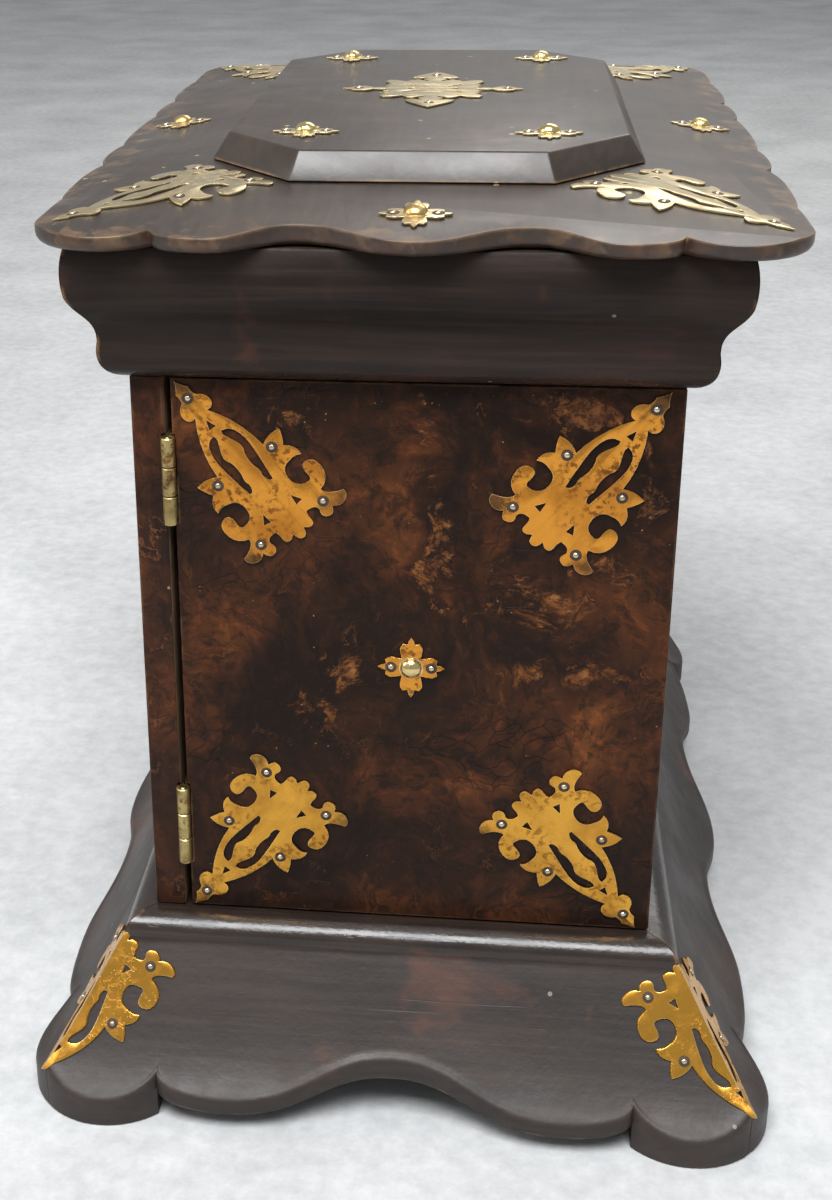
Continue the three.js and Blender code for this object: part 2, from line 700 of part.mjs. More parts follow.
// Skirt mounts: plates folded over each corner's arris, their tips trimmed
function offsetLine(line, distance) {
  return line.map((point, i) => {
    const before = line[Math.max(i - 1, 0)];
    const after = line[Math.min(i + 1, line.length - 1)];
    const run = Math.hypot(after[0] - before[0], after[1] - before[1]);
    const normal = [-(after[1] - before[1]) / run, (after[0] - before[0]) / run];
    return [point[0] + normal[0] * distance, point[1] + normal[1] * distance];
  });
}

function skirtMount() {
  const flare = flareLine(SKIRT_MOUNT_STEPS);
  const inner = offsetLine(flare, GAP);
  const outer = offsetLine(flare, GAP + PLATE_THICKNESS).reverse();
  const sheet = alongSide([...inner, ...outer], FRONT);
  const wedge = mitreWedge(FRONT, 0, SKIRT_REACH + PAST, SKIRT_HEIGHT, -FOLD_OVERLAP);
  const start = flare[0];
  const end = [SKIRT_REACH - CORNER_CUT, lineHeight(flare, SKIRT_REACH - CORNER_CUT)];
  const length = Math.hypot(end[0] - start[0], start[1] - end[1]);
  const down = [(end[0] - start[0]) / length, (end[1] - start[1]) / length];
  const lean = Math.atan(down[0]);
  const deep = 2 * PAST;
  const past = SKIRT_MOUNT_LENGTH + PAST;
  const trim = board(SKIRT_MOUNT_TRIM, past, -past, FOLD_OVERLAP, -deep, deep);
  const strapStart = SKIRT_MOUNT_TRIM - SKIRT_STRAP_LENGTH;
  const strapEnd = SKIRT_MOUNT_TRIM + SKIRT_STRAP_LAP;
  const strap = board(strapStart, strapEnd, -SKIRT_STRAP_WIDTH, FOLD_OVERLAP, -deep, deep);
  const plate = mountPlate(SKIRT_MOUNT_LENGTH, -deep, deep).scale(1, SKIRT_MOUNT_SPREAD, 1);
  const half = join(common(plate, trim), strap);
  half.rotateZ(Math.PI);
  half.translate(SKIRT_MOUNT_LENGTH + SKIRT_MOUNT_START, 0, 0);
  half.rotateZ(Math.PI / 2 - lean);
  const basis = new THREE.Matrix4().makeBasis(
    new THREE.Vector3(1, 0, 0), new THREE.Vector3(0, -down[0], down[1]),
    new THREE.Vector3(0, -down[1], -down[0]));
  half.applyMatrix4(basis);
  half.translate(HALF_WIDTH + start[0], -HALF_DEPTH - start[0], start[1]);
  const frontHalf = common(sheet, wedge, half);
  const shift = HALF_WIDTH - HALF_DEPTH;
  const swap = new THREE.Matrix4().set(
    0, -1, 0, shift,
    -1, 0, 0, shift,
    0, 0, 1, 0,
    0, 0, 0, 1);
  return join(frontHalf, mirrored(frontHalf, swap));
}

function buildSkirtMounts() {
  const mount = skirtMount();
  const flipX = new THREE.Matrix4().makeScale(-1, 1, 1);
  const flipY = new THREE.Matrix4().makeScale(1, -1, 1);
  add('base_mount_front_right', mount, MOUNT_BRASS);
  add('base_mount_front_left', mirrored(mount, flipX), MOUNT_BRASS);
  add('base_mount_back_right', mirrored(mount, flipY), MOUNT_BRASS);
  add('base_mount_back_left', mount.clone().rotateZ(Math.PI), MOUNT_BRASS);
}

// Bosses: a four-leaved plate with a domed stud on its middle. One leaf is
// drawn along +X, from its tip to the notch beside it.
const BOSS_LEAF = [[9.6, 0], [7.2, 1.0], [5.8, 3.3]];
const BOSS_NOTCH = [2.7, 2.7];
const BOSS_DRAWN_SPAN = 19.2;

function turnPoint([x, y], angle) {
  const cos = Math.cos(angle);
  const sin = Math.sin(angle);
  return [x * cos - y * sin, x * sin + y * cos];
}

function bossOutline() {
  const leaf = [...BOSS_LEAF.slice(1).reverse().map(across), ...BOSS_LEAF, BOSS_NOTCH];
  const quarters = [0, 1, 2, 3].map((quarter) => quarter * Math.PI / 2);
  return quarters.flatMap((angle) => leaf.map((point) => turnPoint(point, angle)));
}

function stud(low, height) {
  const profile = [[0, 0], [STUD_RADIUS, 0]];
  profile.push([STUD_RADIUS * Math.SQRT1_2, height * Math.SQRT1_2], [0, height]);
  const points = profile.map(([x, y]) => new THREE.Vector2(x, y));
  return new THREE.LatheGeometry(points, STUD_SIDES).rotateX(Math.PI / 2).translate(0, 0, low);
}

function boss() {
  const middle = PLATE_THICKNESS / 2;
  const size = BOSS_SPAN / BOSS_DRAWN_SPAN;
  const plate = prism(bossOutline(), 0, PLATE_THICKNESS).scale(size, size, 1);
  return join(plate, stud(middle, STUD_HEIGHT + middle));
}

// Bosses on the lid's slopes are tipped to lie flat on them
function lidSlope() {
  return Math.atan(LID_RISE / LID_SLOPE_WIDTH);
}

function buildBosses() {
  const panelLift = PANEL_TOP + GAP;
  const panelY = HALF_DEPTH - PANEL_BOSS_MARGIN;
  const corners = { front_left: [-1, -1], front_right: [1, -1], back_right: [1, 1], back_left: [-1, 1] };
  for (const [name, [x, y]] of Object.entries(corners)) {
    const placed = boss().translate(x * PANEL_BOSS_X, y * panelY, panelLift);
    addToLid(`panel_boss_${name}`, placed, MOUNT_BRASS);
  }
  const doorBoss = boss().rotateX(Math.PI / 2);
  doorBoss.translate(DOOR_BOSS_X, -HALF_DEPTH - GAP, SKIRT_HEIGHT + BODY_HEIGHT / 2);
  add('door_boss', doorBoss, MOUNT_BRASS);

  const slope = lidSlope();
  const endY = LID_HALF_DEPTH - LID_BOSS_INSET;
  const endLift = RIM_TOP + GAP + LID_BOSS_INSET * Math.tan(slope);
  addToLid('lid_boss_front', boss().rotateX(slope).translate(0, -endY, endLift), MOUNT_BRASS);
  addToLid('lid_boss_back', boss().rotateX(-slope).translate(0, endY, endLift), MOUNT_BRASS);

  const sideX = LID_HALF_WIDTH - LID_SIDE_BOSS_INSET;
  const sideLift = RIM_TOP + GAP + LID_SIDE_BOSS_INSET * Math.tan(slope);
  addToLid('lid_boss_left', boss().rotateY(-slope).translate(-sideX, 0, sideLift), MOUNT_BRASS);
  addToLid('lid_boss_right', boss().rotateY(slope).translate(sideX, 0, sideLift), MOUNT_BRASS);
}

// Cartouche on the panel: one quarter of its edge, from the tip of the arm
// across the box to the tip of the arm along it, and its piercings
const CARTOUCHE_EDGE = [
  [29.5, 0], [26.6, 0.9], [26.4, 2.7], [23.6, 4.2], [21.2, 3.5], [19.4, 1.1],
  [17.0, 2.1], [14.8, 1.2], [14.6, 3.4], [15.9, 4.8], [14.2, 6.4], [15.6, 8.6],
  [13.9, 10.2], [16.5, 14.8], [15.4, 17.4], [12.4, 17.2], [9.4, 14.4],
  [7.8, 17.8], [5.6, 19.0], [2.3, 15.2], [2.1, 17.4], [3.9, 19.8],
  [2.3, 24.2], [5.0, 22.4], [7.8, 23.4], [6.6, 27.2], [2.6, 33.2], [0, 37.0],
];
const CARTOUCHE_DRAWN_LENGTH = 74;
const CARTOUCHE_EYE = [[5.4, 0], [7.6, 1.7], [8.6, 0], [7.6, -1.7]];
const CARTOUCHE_SLOT = [[3.9, 3.7], [9.3, 8.9], [10.1, 7.6], [4.9, 2.9]];
const CARTOUCHE_BAR = [[-3.2, 7.5], [0, 6.7], [3.2, 7.5], [0, 8.5]];

function buildCartouche() {
  const flipX = ([x, y]) => [-x, y];
  const right = [...CARTOUCHE_EDGE.slice(1).reverse().map(across), ...CARTOUCHE_EDGE];
  const left = right.slice(1, -1).reverse().map(flipX);
  const slots = [CARTOUCHE_SLOT, CARTOUCHE_SLOT.map(across)];
  const holes = [
    CARTOUCHE_EYE, CARTOUCHE_EYE.map(flipX), CARTOUCHE_BAR, CARTOUCHE_BAR.map(across),
    ...slots, ...slots.map((slot) => slot.map(flipX)),
  ];
  const size = CARTOUCHE_LENGTH / CARTOUCHE_DRAWN_LENGTH;
  const plate = prism([...right, ...left], 0, PLATE_THICKNESS, holes).scale(size, size, 1);
  addToLid('lid_cartouche', plate.translate(CARTOUCHE_X, CARTOUCHE_Y, PANEL_TOP + GAP), MOUNT_BRASS);
}

buildBase();
buildCarcase();
buildCornice();
buildDoor();
buildHinges();
buildLidBoard();
buildPanel();
buildDoorMounts();
buildLidMounts();
buildSkirtMounts();
buildBosses();
buildCartouche();

export default box;
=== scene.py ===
import math

import bpy
from mathutils import Matrix, Vector


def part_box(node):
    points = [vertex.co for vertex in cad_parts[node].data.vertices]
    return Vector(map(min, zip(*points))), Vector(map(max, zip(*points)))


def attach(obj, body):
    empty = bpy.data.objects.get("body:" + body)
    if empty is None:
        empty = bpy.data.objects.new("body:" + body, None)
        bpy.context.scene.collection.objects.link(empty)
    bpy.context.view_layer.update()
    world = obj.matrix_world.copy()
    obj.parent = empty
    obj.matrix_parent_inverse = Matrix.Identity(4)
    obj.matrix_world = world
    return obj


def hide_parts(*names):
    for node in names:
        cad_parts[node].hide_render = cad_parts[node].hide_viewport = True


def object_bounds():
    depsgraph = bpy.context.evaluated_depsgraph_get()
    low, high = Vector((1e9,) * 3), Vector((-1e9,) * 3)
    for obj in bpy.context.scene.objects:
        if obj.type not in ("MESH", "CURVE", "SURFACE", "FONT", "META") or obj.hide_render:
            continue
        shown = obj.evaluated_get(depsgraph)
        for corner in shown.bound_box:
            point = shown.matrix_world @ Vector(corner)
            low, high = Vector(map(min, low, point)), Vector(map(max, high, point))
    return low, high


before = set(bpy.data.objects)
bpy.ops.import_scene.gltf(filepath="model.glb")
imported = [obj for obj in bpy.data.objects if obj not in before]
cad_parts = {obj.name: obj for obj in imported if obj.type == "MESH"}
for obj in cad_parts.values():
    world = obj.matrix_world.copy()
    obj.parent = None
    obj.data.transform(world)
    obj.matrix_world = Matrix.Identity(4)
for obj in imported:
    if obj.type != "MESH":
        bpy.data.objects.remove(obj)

bl_info = {
    "name": "Vanity box",
    "version": (1, 0, 0),
    "blender": (4, 5, 0),
    "location": "View3D > Sidebar > Vanity box",
    "description": "Dresses the vanity box: boards, mouldings, lid, pierced brass mounts and hinges",
    "category": "Object",
}

CAD_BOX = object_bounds()
MM = 0.001

# Carcase, base, cornice and lid, in millimetres, as in the part's own source
HALF_WIDTH, HALF_DEPTH = 75, 130
BODY_FOOT, BODY_TOP, CORNICE_TOP = 55, 227, 265.7
SIDE_THICKNESS = 9.1
SKIRT_REACH, SKIRT_LEDGE = 37.5, 12
BEAD_START, BEAD_REACH, BEAD_HEIGHT, BEAD_FILLET, BEAD_DEGREES = 1.5, 8.7, 6.5, 1, 78
RIM_HEIGHT, APRON_THICKNESS, ARCH_HEIGHT, FOOT_RADIUS = 10, 5.2, 15, 24.5
FRONT_CUSP, FRONT_LOBE, FRONT_ARCH_INSET = 71, 50, 11.7
SIDE_CUSP, SIDE_LOBE, SIDE_DIP, SIDE_DIP_INSET = 125, 90, 49, 8.5
CENTRE_INSET, LOBE_INSET = 1.5, 1.9
CORNICE_REACH, CORNICE_FOOT = 14.2, 7.2
CORNICE_BEAD_HEIGHT, CORNICE_NECK_HEIGHT, CORNICE_SWELL_HEIGHT = 8.4, 12, 24.6
CORNICE_BEAD_PULL, CORNICE_NECK_PULL = 1.6, 1.2
LID_SHIFT, LID_UNDER, RIM_TOP, LID_RISE, LID_SLOPE_WIDTH = 3, 266, 270.3, 5.2, 38
LID_FRONT_OVERHANG, LID_SIDE_OVERHANG, LID_CORNER_OVERHANG, LID_CORNER_RADIUS = 22.4, 25.8, 24.8, 19
LID_FRONT_CUSP, LID_FRONT_LOBE, LID_FRONT_DIP, LID_FRONT_DIP_INSET = 67, 53, 30, 10.8
LID_SIDE_CUSPS, LID_SIDE_PEAKS, LID_SIDE_INSETS = (28, 60, 108), (43, 82, 122), (2.2, 3.8, 1.8)
LID_HALF_WIDTH, LID_HALF_DEPTH = HALF_WIDTH + LID_SIDE_OVERHANG, HALF_DEPTH + LID_FRONT_OVERHANG
RIM_UNDER_SHARE, RIM_OVER_SHARE = 1.7, 0.8
PANEL_UNDER, PANEL_TOP, PANEL_BEVEL, PANEL_HALF_LENGTH = 275.8, 283.6, 5, 103
PANEL_HALF_WIDTH, PANEL_END_HALF_WIDTH, PANEL_CHAMFER = 57, 33.8, 28
MITRE_GAP, PAST = 0.3, 5

# Brass: plates, the places of the mounts, bosses and cartouche, and the hinges
PLATE_THICKNESS, PLATE_LIFT, PLATE_EDGE = 0.6, 0.12, 0.12
DOOR_MOUNT_LENGTH, DOOR_MOUNT_ANGLE = 57.4, 52
DOOR_MOUNT_LEFT_INSET, DOOR_MOUNT_RIGHT_INSET, DOOR_MOUNT_END_INSET = 1.2, 4, 0.8
LID_MOUNT_LENGTH, LID_MOUNT_ANGLE = 62, 46
LID_MOUNT_SIDE_INSET, LID_MOUNT_END_INSET = 6.8, 12
SKIRT_MOUNT_LENGTH, SKIRT_MOUNT_START, SKIRT_MOUNT_SPREAD = 57.4, -2.5, 1.08
DOOR_BOSS_X, PANEL_BOSS_X, PANEL_BOSS_Y, LID_BOSS_END_INSET, LID_BOSS_SIDE_INSET = 3, 34.5, 77, 18.4, 16.3
BOSS_PIN_REACH, CARTOUCHE_MIDDLE = 5.8, (-1.7, 3)
HINGE_AXIS = (-64.85, -131.2)
KNUCKLE_RADIUS, KNUCKLE_BORE, HINGE_PIN_RADIUS, KNUCKLE_GAP = 2, 1.1, 0.8, 0.3
LEAF_NEAR, LEAF_FAR, LEAF_FRONT, TAB_DEPTH = 0.15, 0.75, 1.4, 2.4
NOTCH_CLEARANCE, NOTCH_SPARE = 0.4, 1.2

# Each side: its turn about the upright, how far its face is from the middle,
# and half its length
SIDES = {
    "front": (0, HALF_DEPTH, HALF_WIDTH),
    "right": (math.pi / 2, HALF_WIDTH, HALF_DEPTH),
    "back": (math.pi, HALF_DEPTH, HALF_WIDTH),
    "left": (-math.pi / 2, HALF_WIDTH, HALF_DEPTH),
}

CORNERS = {"front_left": (-1, -1), "front_right": (1, -1), "back_right": (1, 1), "back_left": (-1, 1)}

# The view of the photograph
CAMERA_PLACE = (24.8, -569.6, 370.5)
CAMERA_TURN, CAMERA_DIP, CAMERA_ROLL = -0.1217, 0.3801, -0.0150
CAMERA_LENS, CAMERA_SHIFT = 51.57, (0.0984, -0.0891)


# Hand tools

def leave_edit():
    if bpy.context.mode != "OBJECT":
        bpy.ops.object.mode_set(mode="OBJECT")


def select_only(*pieces):
    leave_edit()
    bpy.ops.object.select_all(action="DESELECT")
    for piece in pieces:
        piece.select_set(True)
    bpy.context.view_layer.objects.active = pieces[0]


def edit_all(piece):
    select_only(piece)
    bpy.ops.object.mode_set(mode="EDIT")
    bpy.ops.mesh.select_mode(type="VERT")
    bpy.ops.mesh.select_all(action="SELECT")


def settle(piece):
    """Puts the piece's place, turn and size into its mesh."""
    select_only(piece)
    bpy.ops.object.transform_apply(location=True, rotation=True, scale=True)


def close_up(piece, turn_out=True, reach=0.00001):
    """Merges points closer than reach, in metres, and turns the faces outwards."""
    edit_all(piece)
    bpy.ops.mesh.remove_doubles(threshold=reach)
    if turn_out:
        bpy.ops.mesh.select_all(action="SELECT")
        bpy.ops.mesh.normals_make_consistent(inside=False)
    leave_edit()


def ease_edges(piece, width, segments=3, angle=35):
    eased = piece.modifiers.new("eased edges", "BEVEL")
    eased.width = width * MM
    eased.segments = segments
    eased.limit_method = "ANGLE"
    eased.angle_limit = math.radians(angle)
    select_only(piece)
    bpy.ops.object.modifier_apply(modifier=eased.name)


def shade(piece, angle=35):
    select_only(piece)
    bpy.ops.object.shade_smooth_by_angle(angle=math.radians(angle))


def even_shading(piece):
    """Broad faces set the shading, so narrow eased edges don't smear it."""
    weighted = piece.modifiers.new("even shading", "WEIGHTED_NORMAL")
    weighted.mode = "FACE_AREA"
    weighted.keep_sharp = True
    select_only(piece)
    bpy.ops.object.modifier_apply(modifier=weighted.name)


def carve(piece, tool, how):
    cutter = piece.modifiers.new("carved", "BOOLEAN")
    cutter.operation = how
    cutter.solver = "EXACT"
    cutter.object = tool
    select_only(piece)
    bpy.ops.object.modifier_apply(modifier=cutter.name)
    bpy.data.objects.remove(tool)


def slice_through(piece, point, normal, keep_below=False):
    edit_all(piece)
    bpy.ops.mesh.bisect(plane_co=point, plane_no=normal, use_fill=keep_below, clear_outer=keep_below)
    leave_edit()


def placed(name, data):
    """An object made of the given data, put in the scene."""
    thing = bpy.data.objects.new(name, data)
    bpy.context.scene.collection.objects.link(thing)
    return thing


def new_piece(name, points, faces, edges=()):
    """A mesh from points in millimetres."""
    mesh = bpy.data.meshes.new(name)
    mesh.from_pydata([Vector(p) * MM for p in points], edges, faces)
    mesh.update()
    return placed(name, mesh)


def drawn_out(name, points, move):
    """A flat face drawn from points, then extruded by move."""
    piece = new_piece(name, points, [list(range(len(points)))])
    edit_all(piece)
    bpy.ops.mesh.extrude_region_move(TRANSFORM_OT_translate={"value": Vector(move) * MM})
    leave_edit()
    close_up(piece)
    return piece


def prism(name, outline, low, high):
    return drawn_out(name, [(x, y, low) for x, y in outline], (0, 0, high - low))


def frustum(name, lower, low, upper, high):
    """A block from one ring at its foot to another of as many points at its top."""
    count = len(lower)
    points = [(x, y, low) for x, y in lower] + [(x, y, high) for x, y in upper]
    faces = [list(range(count)), list(range(count, 2 * count))]
    faces += [[i, (i + 1) % count, count + (i + 1) % count, count + i] for i in range(count)]
    piece = new_piece(name, points, faces)
    close_up(piece)
    return piece


def turned(name, profile, steps, closed=False):
    """A profile of (radius, height) spun about the upright."""
    edges = [(i, i + 1) for i in range(len(profile) - 1)]
    if closed:
        edges.append((len(profile) - 1, 0))
    piece = new_piece(name, [(r, 0, z) for r, z in profile], [], edges)
    edit_all(piece)
    bpy.ops.mesh.spin(steps=steps, angle=2 * math.pi, center=(0, 0, 0), axis=(0, 0, 1))
    leave_edit()
    close_up(piece, reach=0.000005)
    return piece


def stay_inside(piece):
    """The finely stepped outline may bulge a hair past the solid's box, and is drawn back to it."""
    low, high = CAD_BOX
    for vertex in piece.data.vertices:
        vertex.co = [min(max(v, a), b) for v, a, b in zip(vertex.co, low, high)]


def copy_to(piece, name, place):
    """A copy with its own mesh, moved by a matrix, which may mirror it."""
    other = placed(name, piece.data.copy())
    other.data.transform(place)
    if place.determinant() < 0:
        other.data.flip_normals()
    return other


def joined(name, pieces):
    select_only(*pieces)
    if len(pieces) > 1:
        bpy.ops.object.join()
    pieces[0].name = name
    pieces[0].data.name = name
    return pieces[0]


def discard(piece):
    bpy.data.objects.remove(piece)


def hand_over(piece, material, slot, body, *nodes):
    """A finished piece gets its finish, rides on its body and stands for its solids."""
    if not piece.data.materials:
        piece.data.materials.append(material)
    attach(piece, body)
    if nodes:
        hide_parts(*nodes)


# Curves

def bezier(start, first, second, end, steps):
    """The points of a cubic curve after its start."""
    points = []
    for i in range(1, steps + 1):
        t = i / steps
        w = ((1 - t) ** 3, 3 * t * (1 - t) ** 2, 3 * t * t * (1 - t), t ** 3)
        points.append(tuple(sum(k * p[n] for k, p in zip(w, (start, first, second, end))) for n in (0, 1)))
    return points


def evenly(first, last, steps):
    return [first + (last - first) * i / steps for i in range(steps + 1)]


def sweep_s(start, end, steps=14):
    """A soft S from one level to the next, flat at both ends."""
    run = (end[0] - start[0]) * 0.45
    return bezier(start, (start[0] + run, start[1]), (end[0] - run, end[1]), end, steps)


def lobe_end(start, end, steps=9):
    """A lobe's fall into the cusp beside it."""
    run = (end[0] - start[0]) * 0.6
    drop = (end[1] - start[1]) * 0.5
    return bezier(start, (start[0] + run, start[1]), (end[0], end[1] - drop), end, steps)


def lobe_start(start, end, steps=8):
    """A lobe's rise out of the cusp beside it."""
    run = (end[0] - start[0]) * 0.6
    rise = (end[1] - start[1]) * 0.5
    return bezier(start, (start[0], start[1] + rise), (end[0] - run, end[1]), end, steps)


def corner_arc(half, reach, end_reach, radius, along, steps=16):
    """A corner lobe's round from a place along the side to the mitre."""
    middle = (half + end_reach - radius, reach - radius)
    first = math.acos(max(-1, (along - middle[0]) / radius))
    return [(middle[0] + radius * math.cos(a), middle[1] + radius * math.sin(a))
            for a in evenly(first, math.pi / 4, steps)]


def whole_outline(front, side):
    """The closed outline of four sides, each from half an edge of (along, out) points."""
    points = []
    for name, half_edge in (("front", front), ("right", side), ("back", front), ("left", side)):
        turn, reach, _ = SIDES[name]
        left = [(-along, out) for along, out in reversed(half_edge[1:])]
        for along, out in (left + half_edge)[:-1]:
            y = -(reach + out)
            points.append((along * math.cos(turn) - y * math.sin(turn),
                           along * math.sin(turn) + y * math.cos(turn)))
    return points


def swept(stations):
    points = [stations[0]]
    for station in stations[1:]:
        points += sweep_s(points[-1], station)
    return points


# The rim of the base from its middle to the last lobe, and where that lobe meets the foot
SKIRT_EDGES = {
    "front": (swept([(0, SKIRT_REACH - FRONT_ARCH_INSET),
                     (FRONT_LOBE, SKIRT_REACH - LOBE_INSET)]), FRONT_CUSP),
    "side": (swept([(0, SKIRT_REACH - CENTRE_INSET), (SIDE_DIP, SKIRT_REACH - SIDE_DIP_INSET),
                    (SIDE_LOBE, SKIRT_REACH - LOBE_INSET)]), SIDE_CUSP),
}
SKIRT_ROWS, UNDER_ROWS = 24, 12


def lid_outline():
    reach = LID_FRONT_OVERHANG
    arc = corner_arc(HALF_WIDTH, reach, LID_CORNER_OVERHANG, LID_CORNER_RADIUS, LID_FRONT_CUSP)
    front = [(0, reach)]
    front += sweep_s(front[-1], (LID_FRONT_DIP, reach - LID_FRONT_DIP_INSET))
    front += sweep_s(front[-1], (LID_FRONT_LOBE, reach))
    front += lobe_end(front[-1], arc[0])
    front += arc[1:]
    reach = LID_SIDE_OVERHANG
    side = [(0, reach)]
    for cusp, inset, peak, out in zip(LID_SIDE_CUSPS, LID_SIDE_INSETS, LID_SIDE_PEAKS,
                                      (reach, reach, LID_CORNER_OVERHANG)):
        side += lobe_end(side[-1], (cusp, reach - inset))
        side += lobe_start(side[-1], (peak, out))
    side += corner_arc(HALF_DEPTH, LID_CORNER_OVERHANG, LID_FRONT_OVERHANG, LID_CORNER_RADIUS,
                       LID_HALF_DEPTH - LID_CORNER_RADIUS)
    return whole_outline(front, side)


def bead_line(steps=9):
    rise = BEAD_HEIGHT - BEAD_FILLET
    points = [(0, BODY_FOOT)]
    for i in range(steps + 1):
        angle = math.radians(BEAD_DEGREES - BEAD_DEGREES * i / steps)
        points.append((BEAD_START + (BEAD_REACH - BEAD_START) * math.cos(angle),
                       BODY_FOOT - rise + rise * math.sin(angle)))
    return points


def flare_line(steps=22):
    start = (BEAD_REACH, BODY_FOOT - BEAD_HEIGHT)
    end = (SKIRT_REACH, RIM_HEIGHT)
    fall, run = start[1] - end[1], end[0] - start[0]
    first = (start[0] + run * 0.36, start[1] - fall * 0.44)
    second = (start[0] + run * 0.62, end[1] + fall * 0.12)
    return [start] + bezier(start, first, second, end, steps)


def moulding(name, section, side):
    """A length with a section of (out, z) points, cut to its mitres and turned to its side."""
    turn, reach, half = SIDES[side]
    far = half + SKIRT_REACH + PAST
    piece = drawn_out(name, [(-far, -(reach + out), z) for out, z in section], (2 * far, 0, 0))
    for way in (-1, 1):
        corner = Vector((way * (half - MITRE_GAP / 2), -reach, 0)) * MM
        slice_through(piece, corner, (way, 1, 0), keep_below=True)
    close_up(piece)
    piece.data.transform(Matrix.Rotation(turn, 4, "Z"))
    return piece


# Finish groups

def feed(tree, socket, value):
    """Links an output to a socket, or sets a plain value on it."""
    if isinstance(value, bpy.types.NodeSocket):
        tree.links.new(value, socket)
    elif value is not None:
        socket.default_value = value


def put(tree, kind, feeds=(), **settings):
    node = tree.nodes.new("ShaderNode" + kind)
    for key, value in settings.items():
        setattr(node, key, value)
    for key, value in dict(feeds).items():
        feed(tree, node.inputs[key], value)
    return node


def noise(tree, where, scale, detail=4, rough=0.55, warp=0.0):
    return put(tree, "TexNoise", {"Vector": where, "Scale": scale, "Detail": detail,
                                  "Roughness": rough, "Distortion": warp}).outputs[0]


def wander(tree, where, scale, detail):
    """A noise of three values, for bending a pattern."""
    return put(tree, "TexNoise", {"Vector": where, "Scale": scale, "Detail": detail}).outputs["Color"]


def maths(tree, how, a, b=0.0, clamp=False):
    return put(tree, "Math", {0: a, 1: b}, operation=how, use_clamp=clamp).outputs[0]


def vectors(tree, how, a, b):
    return put(tree, "VectorMath", {0: a, 1: b}, operation=how).outputs[0]


def times(tree, a, b):
    return maths(tree, "MULTIPLY", a, b)


def plus(tree, a, b):
    return maths(tree, "ADD", a, b)


def less(tree, a, b):
    return maths(tree, "SUBTRACT", a, b)


def greater(tree, a, b):
    return maths(tree, "MAXIMUM", a, b)


def levels(tree, value, low, high, out_low=0.0, out_high=1.0):
    return put(tree, "MapRange", {"Value": value, "From Min": low, "From Max": high,
                                  "To Min": out_low, "To Max": out_high},
               interpolation_type="SMOOTHSTEP").outputs[0]


def blend(tree, amount, under, over, how="MIX"):
    node = put(tree, "Mix", data_type="RGBA", blend_type=how)
    for index, value in ((0, amount), (6, under), (7, over)):
        feed(tree, node.inputs[index], value)
    return node.outputs[2]


def laid(tree, under, mask, share, over):
    """A colour laid over another where a mask says, at no more than its share."""
    return blend(tree, times(tree, mask, share), under, over)


def ramp(tree, value, stops):
    node = put(tree, "ValToRGB", {"Fac": value})
    bands = node.color_ramp.elements
    while len(bands) < len(stops):
        bands.new(0.5)
    for band, (place, colour) in zip(bands, stops):
        band.position = place
        band.color = colour
    return node.outputs[0]


def mapped(tree, where, place=(0, 0, 0), turn=(0, 0, 0), size=(1, 1, 1), kind="POINT"):
    return put(tree, "Mapping", {"Vector": where, "Location": place, "Rotation": turn, "Scale": size},
               vector_type=kind).outputs[0]


def colour(red, green, blue):
    return (red, green, blue, 1.0)


def shaded(base, red, green, blue):
    return colour(base[0] * red, base[1] * green, base[2] * blue)


def group(name, inputs, outputs, build):
    """A shader node group with named sockets; build returns its output values by name."""
    tree = bpy.data.node_groups.get(name)
    if tree:
        return tree
    tree = bpy.data.node_groups.new(name, "ShaderNodeTree")
    for label, kind, default in inputs:
        socket = tree.interface.new_socket(name=label, in_out="INPUT", socket_type="NodeSocket" + kind)
        if default is not None:
            socket.default_value = default
    for label, kind in outputs:
        tree.interface.new_socket(name=label, in_out="OUTPUT", socket_type="NodeSocket" + kind)
    entry = tree.nodes.new("NodeGroupInput").outputs
    leaving = tree.nodes.new("NodeGroupOutput").inputs
    for label, value in build(tree, entry).items():
        feed(tree, leaving[label], value)
    return tree


def use(tree, node_group, **feeds):
    node = tree.nodes.new("ShaderNodeGroup")
    node.node_tree = node_group
    for key, value in feeds.items():
        feed(tree, node.inputs[key.replace("_", " ")], value)
    return node.outputs


def worn_edges():
    """Where an arris is rubbed: strongest on sharp edges, broken up by noise."""
    def build(tree, given):
        soft = put(tree, "Bevel", {"Radius": given["Width"]}, samples=6).outputs[0]
        flat = put(tree, "NewGeometry").outputs["Normal"]
        agree = put(tree, "VectorMath", {0: soft, 1: flat}, operation="DOT_PRODUCT").outputs["Value"]
        arris = levels(tree, agree, 0.995, 0.87)
        rubbed = noise(tree, given["Vector"], given["Patch scale"], 5, 0.62)
        broken = levels(tree, rubbed, less(tree, 0.78, given["Amount"]),
                        less(tree, 0.92, given["Amount"]))
        return {"Mask": maths(tree, "MULTIPLY", arris, broken, clamp=True)}
    return group("worn edges", [("Vector", "Vector", None), ("Width", "Float", 0.0012),
                                ("Amount", "Float", 0.35), ("Patch scale", "Float", 90.0)],
                 [("Mask", "Float")], build)


def speckle():
    """Small scattered dots: dust, paint flecks and dark spots; on the door they also stand for painted
    glints.
    """
    def build(tree, given):
        cells = put(tree, "TexVoronoi", {"Vector": given["Vector"], "Scale": given["Scale"]})
        apart = put(tree, "SeparateColor", {"Color": cells.outputs["Color"]}).outputs
        chosen = maths(tree, "LESS_THAN", apart[0], given["Share"])
        size = levels(tree, apart[1], 0.0, 1.0, 0.06, 0.22)
        dot = maths(tree, "LESS_THAN", cells.outputs["Distance"], size)
        return {"Mask": times(tree, chosen, dot)}
    return group("speckle", [("Vector", "Vector", None), ("Scale", "Float", 400.0),
                             ("Share", "Float", 0.05)], [("Mask", "Float")], build)


